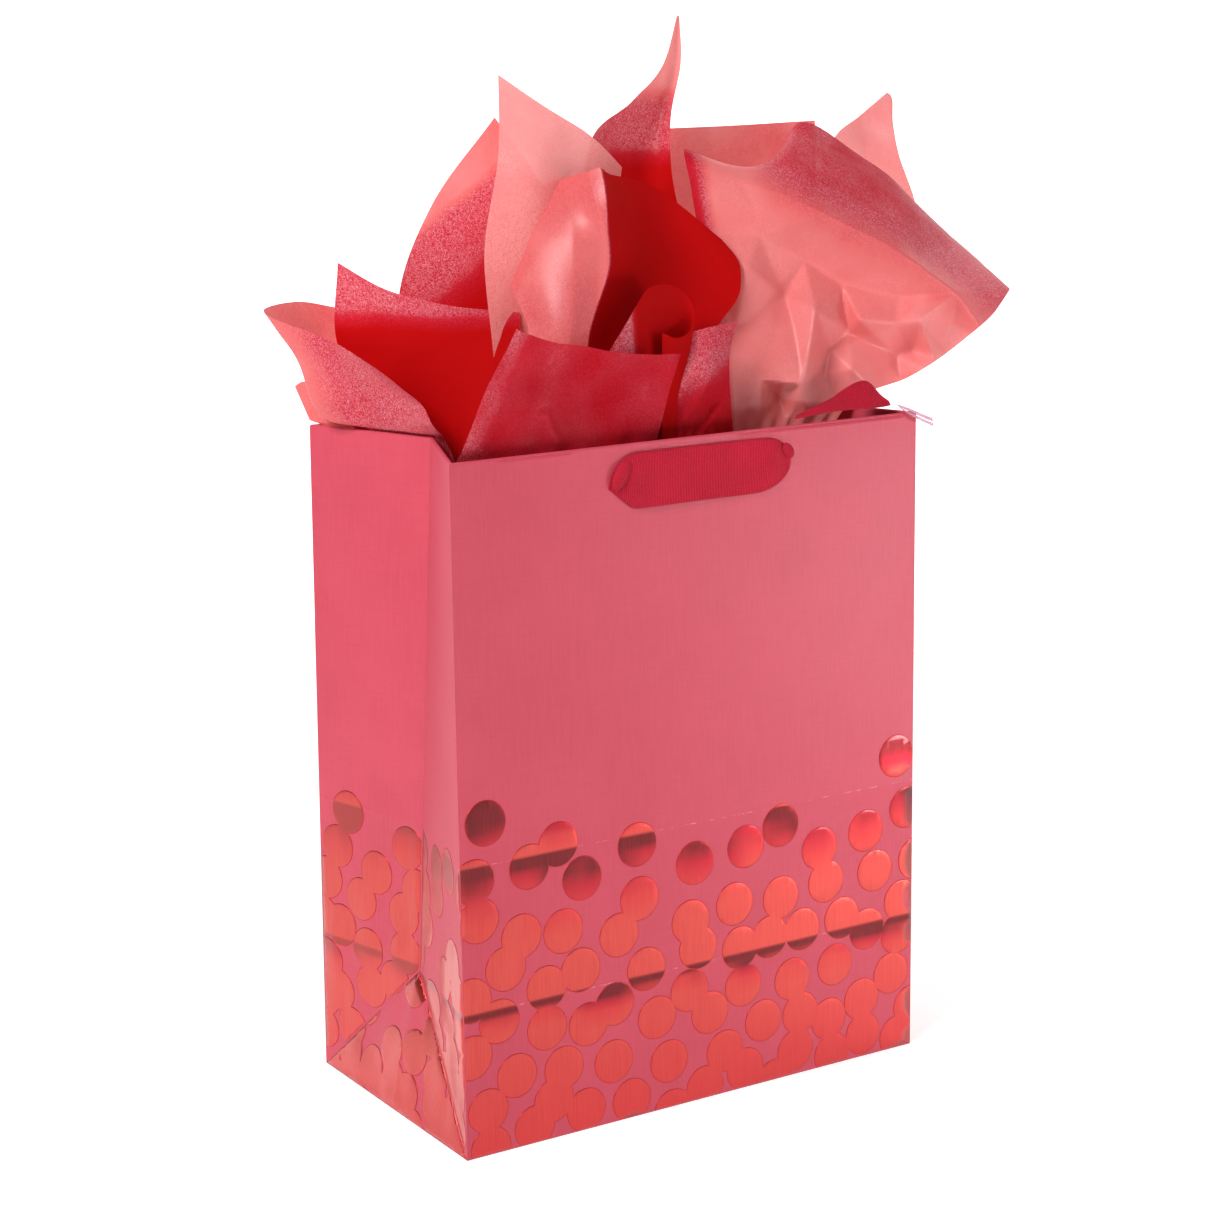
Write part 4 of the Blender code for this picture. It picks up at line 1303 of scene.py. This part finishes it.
# How many sheets lie together on each petal, with painted shade added and, on the front petal's left
# edge, painted light: a share across it, a share up it, and the place in millimetres give 0 for a
# single sheet to 2 for a thick fold or for deep painted shade.
LAYERS_AND_SHADE = {
    # The front petal's left edge is lighter: painted light on the side the light comes from.
    "front_petal": lambda s, t, p: 1.38 - 0.34 * smooth((0.20 - s) * 7) - 0.22 * noise.noise(p / 16),
    "front_small_petal": lambda s, t, p: 1.05 + 0.5 * smooth((352 - p.z + 0.5 * p.x) / 14),
    # Painted shade inside the curl of the roll.
    "front_roll": lambda s, t, p: 1.0 + 1.0 * smooth((s - 0.16) * 12),
    # The centre petal's right wing is deep red from its thicker folds and from painted shade, as it
    # faces away from the light.
    "centre_petal": lambda s, t, p: 0.46 + 1.54 * smooth((s - 0.497) * 60),
    # The large petal's dark left border is painted shadow.
    "right_petal": lambda s, t, p: right_layers_and_shade(p) + 1.2 * smooth((0.09 - s) * 12),
    "left_petal": lambda s, t, p: 0.40 + 0.58 * smooth((0.55 - s) * 8),
    "left_inner_petal": lambda s, t, p: 1.0 + 0.95 * smooth((390 - p.z) / 14),
    "left_tall_petal": lambda s, t, p: (0.35 + 0.65 * smooth((446 - p.z + 0.8 * (p.x + 60)) / 10)
                                        + 0.95 * smooth((424 - p.z + 0.9 * (p.x + 50)) / 30)),
    "tall_petal_left": lambda s, t, p: 0.04,
    "tall_petal_right": lambda s, t, p: (1.0 - 0.85 * smooth((p.z - 476) / 14)
                                         + 0.95 * smooth((462 - p.z) / 16)),
    "back_petal": lambda s, t, p: 0.40,
    "right_back_petal": lambda s, t, p: 0.14,
    "far_left_petal": lambda s, t, p: 0.45,
}


# The free edge of the corner that curls over into a roll, in millimetres.
ROLL_EDGE = [(-39, -56, 372), (-32, -58, 383), (-24, -57, 393), (-15, -53, 399), (-1, -47, 399),
             (11, -44, 394), (15, -46, 385), (9, -51, 377), (-2, -56, 375), (-10, -56, 378)]


def roll_rows():
    """The curled corner: straight lines from its free edge down to a narrower curl in the bag."""
    edge = resample(spline(in_metres(ROLL_EDGE), 10), 90)
    middle = Vector((-3, -44, 0)) * MM
    rows = []
    levels = 60
    for i in range(levels + 1):
        share = i / levels
        row = []
        for p in edge:
            foot = middle + (Vector((p.x, p.y, 0)) - middle) * 0.40
            foot.z = (215 + 0.2 * (p.z / MM - 385)) * MM
            row.append(kept_inside(foot.lerp(p, share)))
        rows.append(row)
    return rows


def make_tissue():
    settings = {
        "front_petal": dict(seed=1.0, folds=FRONT_FOLDS, crumpled=(0.5, 30), ripple=1.0),
        "front_small_petal": dict(seed=2.0, facets=SMALL_FACETS, crumpled=(0.5, 13), up_step=1.5),
        "centre_petal": dict(seed=3.0, sharp=(2,), folds=CENTRE_FOLDS, crumpled=(0.5, 30),
                             up_step=1.8),
        "right_petal": dict(seed=4.0, facets=RIGHT_FACETS, crumpled=(0.4, 24), ripple=0.4,
                            up_step=1.4),
        "left_petal": dict(seed=5.0, crumpled=(0.5, 22)),
        "left_inner_petal": dict(seed=6.0, crumpled=(0.6, 26)),
        "left_tall_petal": dict(seed=7.0, crumpled=(0.7, 30)),
        "tall_petal_left": dict(seed=8.0, crumpled=(0.5, 34)),
        "tall_petal_right": dict(seed=9.0, crumpled=(0.5, 26)),
        "back_petal": dict(seed=10.0, crumpled=(0.7, 34)),
        "right_back_petal": dict(seed=11.0, crumpled=(0.8, 20)),
        "far_left_petal": dict(seed=12.0, crumpled=(0.5, 18)),
    }
    for name, values in settings.items():
        piece = petal(f"tissue_sheet_{name}", PETALS[name], layers_and_shade=LAYERS_AND_SHADE[name], **values)
        declare_tissue(f"tissue_{name}")
    mesh = tissue_mesh("tissue_sheet_front_roll", roll_rows(), LAYERS_AND_SHADE["front_roll"])
    piece = link("tissue_sheet_front_roll", mesh, (TISSUE,), "tissue")
    declare_tissue("tissue_front_roll")


# ---------------------------------------------------------------- carried-over CAD nodes
def dress_nodes():
    """Hidden and underside pieces keep their CAD shape and get the real materials."""
    finishes = {
        "bottom_flap_back": PAPER_FACE, "bottom_flap_front": PAPER_FACE,
        "bottom_end_flap_left": PAPER_BACK, "bottom_end_flap_right": PAPER_BACK,
        "side_glue_flap": PAPER_BACK, "base_board": BOARD,
        "back_card_strip": BOARD, "front_card_strip": BOARD,
    }
    for name, material in finishes.items():
        for material_slot in NODES[name].material_slots:
            material_slot.material = material


# ---------------------------------------------------------------- stage, light, camera
FLOOR_GLOW = 0.34
BACKDROP_GLOW = 0.85


def stage_sheet(name, profile, glow):
    """A white sheet swept sideways along a profile of (distance behind the bag, height)."""
    far = 3.0
    rows = [[Vector((x, y, z)) for x in (-far, 0, far)] for y, z in profile]
    piece = bpy.data.objects.new(name, sheet_mesh(name, [rows]))
    piece.rotation_euler.z = math.radians(CAMERA_AZIMUTH)
    bpy.context.scene.collection.objects.link(piece)
    m = Nodes(f"white_{name}")
    piece.data.materials.append(m.finish(Base_Color=(0.93, 0.93, 0.93, 1), Roughness=0.7,
                                         Emission_Color=(1, 1, 1, 1), Emission_Strength=glow))


def make_stage():
    """A plain pale floor and, well behind the bag, a lit white backdrop that curves up from it."""
    sink = -0.2 * MM
    behind, bend, wall_top = 1.0, 0.8, 2.6
    stage_sheet("floor", [(-3.0, sink), (-1.0, sink), (behind, sink)], FLOOR_GLOW)
    curve = [(behind, sink)]
    for step in range(1, 13):
        angle = math.pi / 2 * step / 12
        curve.append((behind + bend * math.sin(angle), sink + bend * (1 - math.cos(angle))))
    curve.append((behind + bend, wall_top))
    stage_sheet("backdrop", curve, BACKDROP_GLOW)


# The camera comes from a fit to the bag's six visible corners: degrees, metres, millimetre lens.
CAMERA_AZIMUTH = -32.54
CAMERA_ELEVATION = 12.78
CAMERA_ROLL = -0.435
CAMERA_DISTANCE = 1.3791
CAMERA_LENS = 81.55
SENSOR_WIDTH = 36
LOOK_RIGHT = -5.5 * MM
LOOK_UP = 68.5 * MM


def camera_axes():
    a, e, r = (math.radians(v) for v in (CAMERA_AZIMUTH, CAMERA_ELEVATION, CAMERA_ROLL))
    back = Vector((math.sin(a) * math.cos(e), -math.cos(a) * math.cos(e), math.sin(e)))
    right = Vector((0, 0, 1)).cross(back).normalized()
    up = back.cross(right)
    return (right * math.cos(r) + up * math.sin(r), up * math.cos(r) - right * math.sin(r), back)


def make_camera():
    right, up, back = camera_axes()
    target = Vector((0, 0, HEIGHT / 2)) + right * LOOK_RIGHT + up * LOOK_UP
    data = bpy.data.cameras.new("camera")
    data.lens = CAMERA_LENS
    data.sensor_width = SENSOR_WIDTH
    camera = bpy.data.objects.new("camera", data)
    bpy.context.scene.collection.objects.link(camera)
    place = target + back * CAMERA_DISTANCE
    turned = Matrix((right, up, back)).transposed().to_4x4()
    camera.matrix_world = Matrix.Translation(place) @ turned
    bpy.context.scene.camera = camera


def area_light(name, place, aim, size, power):
    data = bpy.data.lights.new(name, "AREA")
    data.shape = "RECTANGLE"
    data.size, data.size_y = size
    data.energy = power
    lamp = bpy.data.objects.new(name, data)
    lamp.location = place
    lamp.rotation_euler = (Vector(aim) - Vector(place)).to_track_quat("-Z", "Y").to_euler()
    bpy.context.scene.collection.objects.link(lamp)
    return lamp


WORLD_STRENGTH = 0.22
FILL_SPREAD = math.radians(46)


def make_light():
    world = bpy.data.worlds.new("studio")
    world.use_nodes = True
    background = world.node_tree.nodes["Background"]
    background.inputs["Color"].default_value = (1, 1, 1, 1)
    background.inputs["Strength"].default_value = WORLD_STRENGTH
    bpy.context.scene.world = world
    area_light("key_left", (-1.20, -0.50, 1.30), (0, 0, 0.33), (0.50, 0.5), 25)
    fill = area_light("fill_right", (0.72, -0.66, 0.10), (0.15, 0, 0.15), (0.35, 0.35), 0.42)
    fill.data.spread = FILL_SPREAD
    area_light("front_soft", (0.5, -1.6, 0.8), (0, 0, 0.25), (1.0, 1.0), 3.5)
    area_light("top_back", (0.3, 0.9, 1.7), (0, 0, 0.4), (1.0, 0.7), 7)
    view = bpy.context.scene.view_settings
    view.view_transform = "Standard"
    view.look = "None"


make_camera()
make_wrapper()
make_foil()
make_legs()
make_back_handle()
make_front_handle()
make_tissue()
dress_nodes()
make_stage()
make_light()
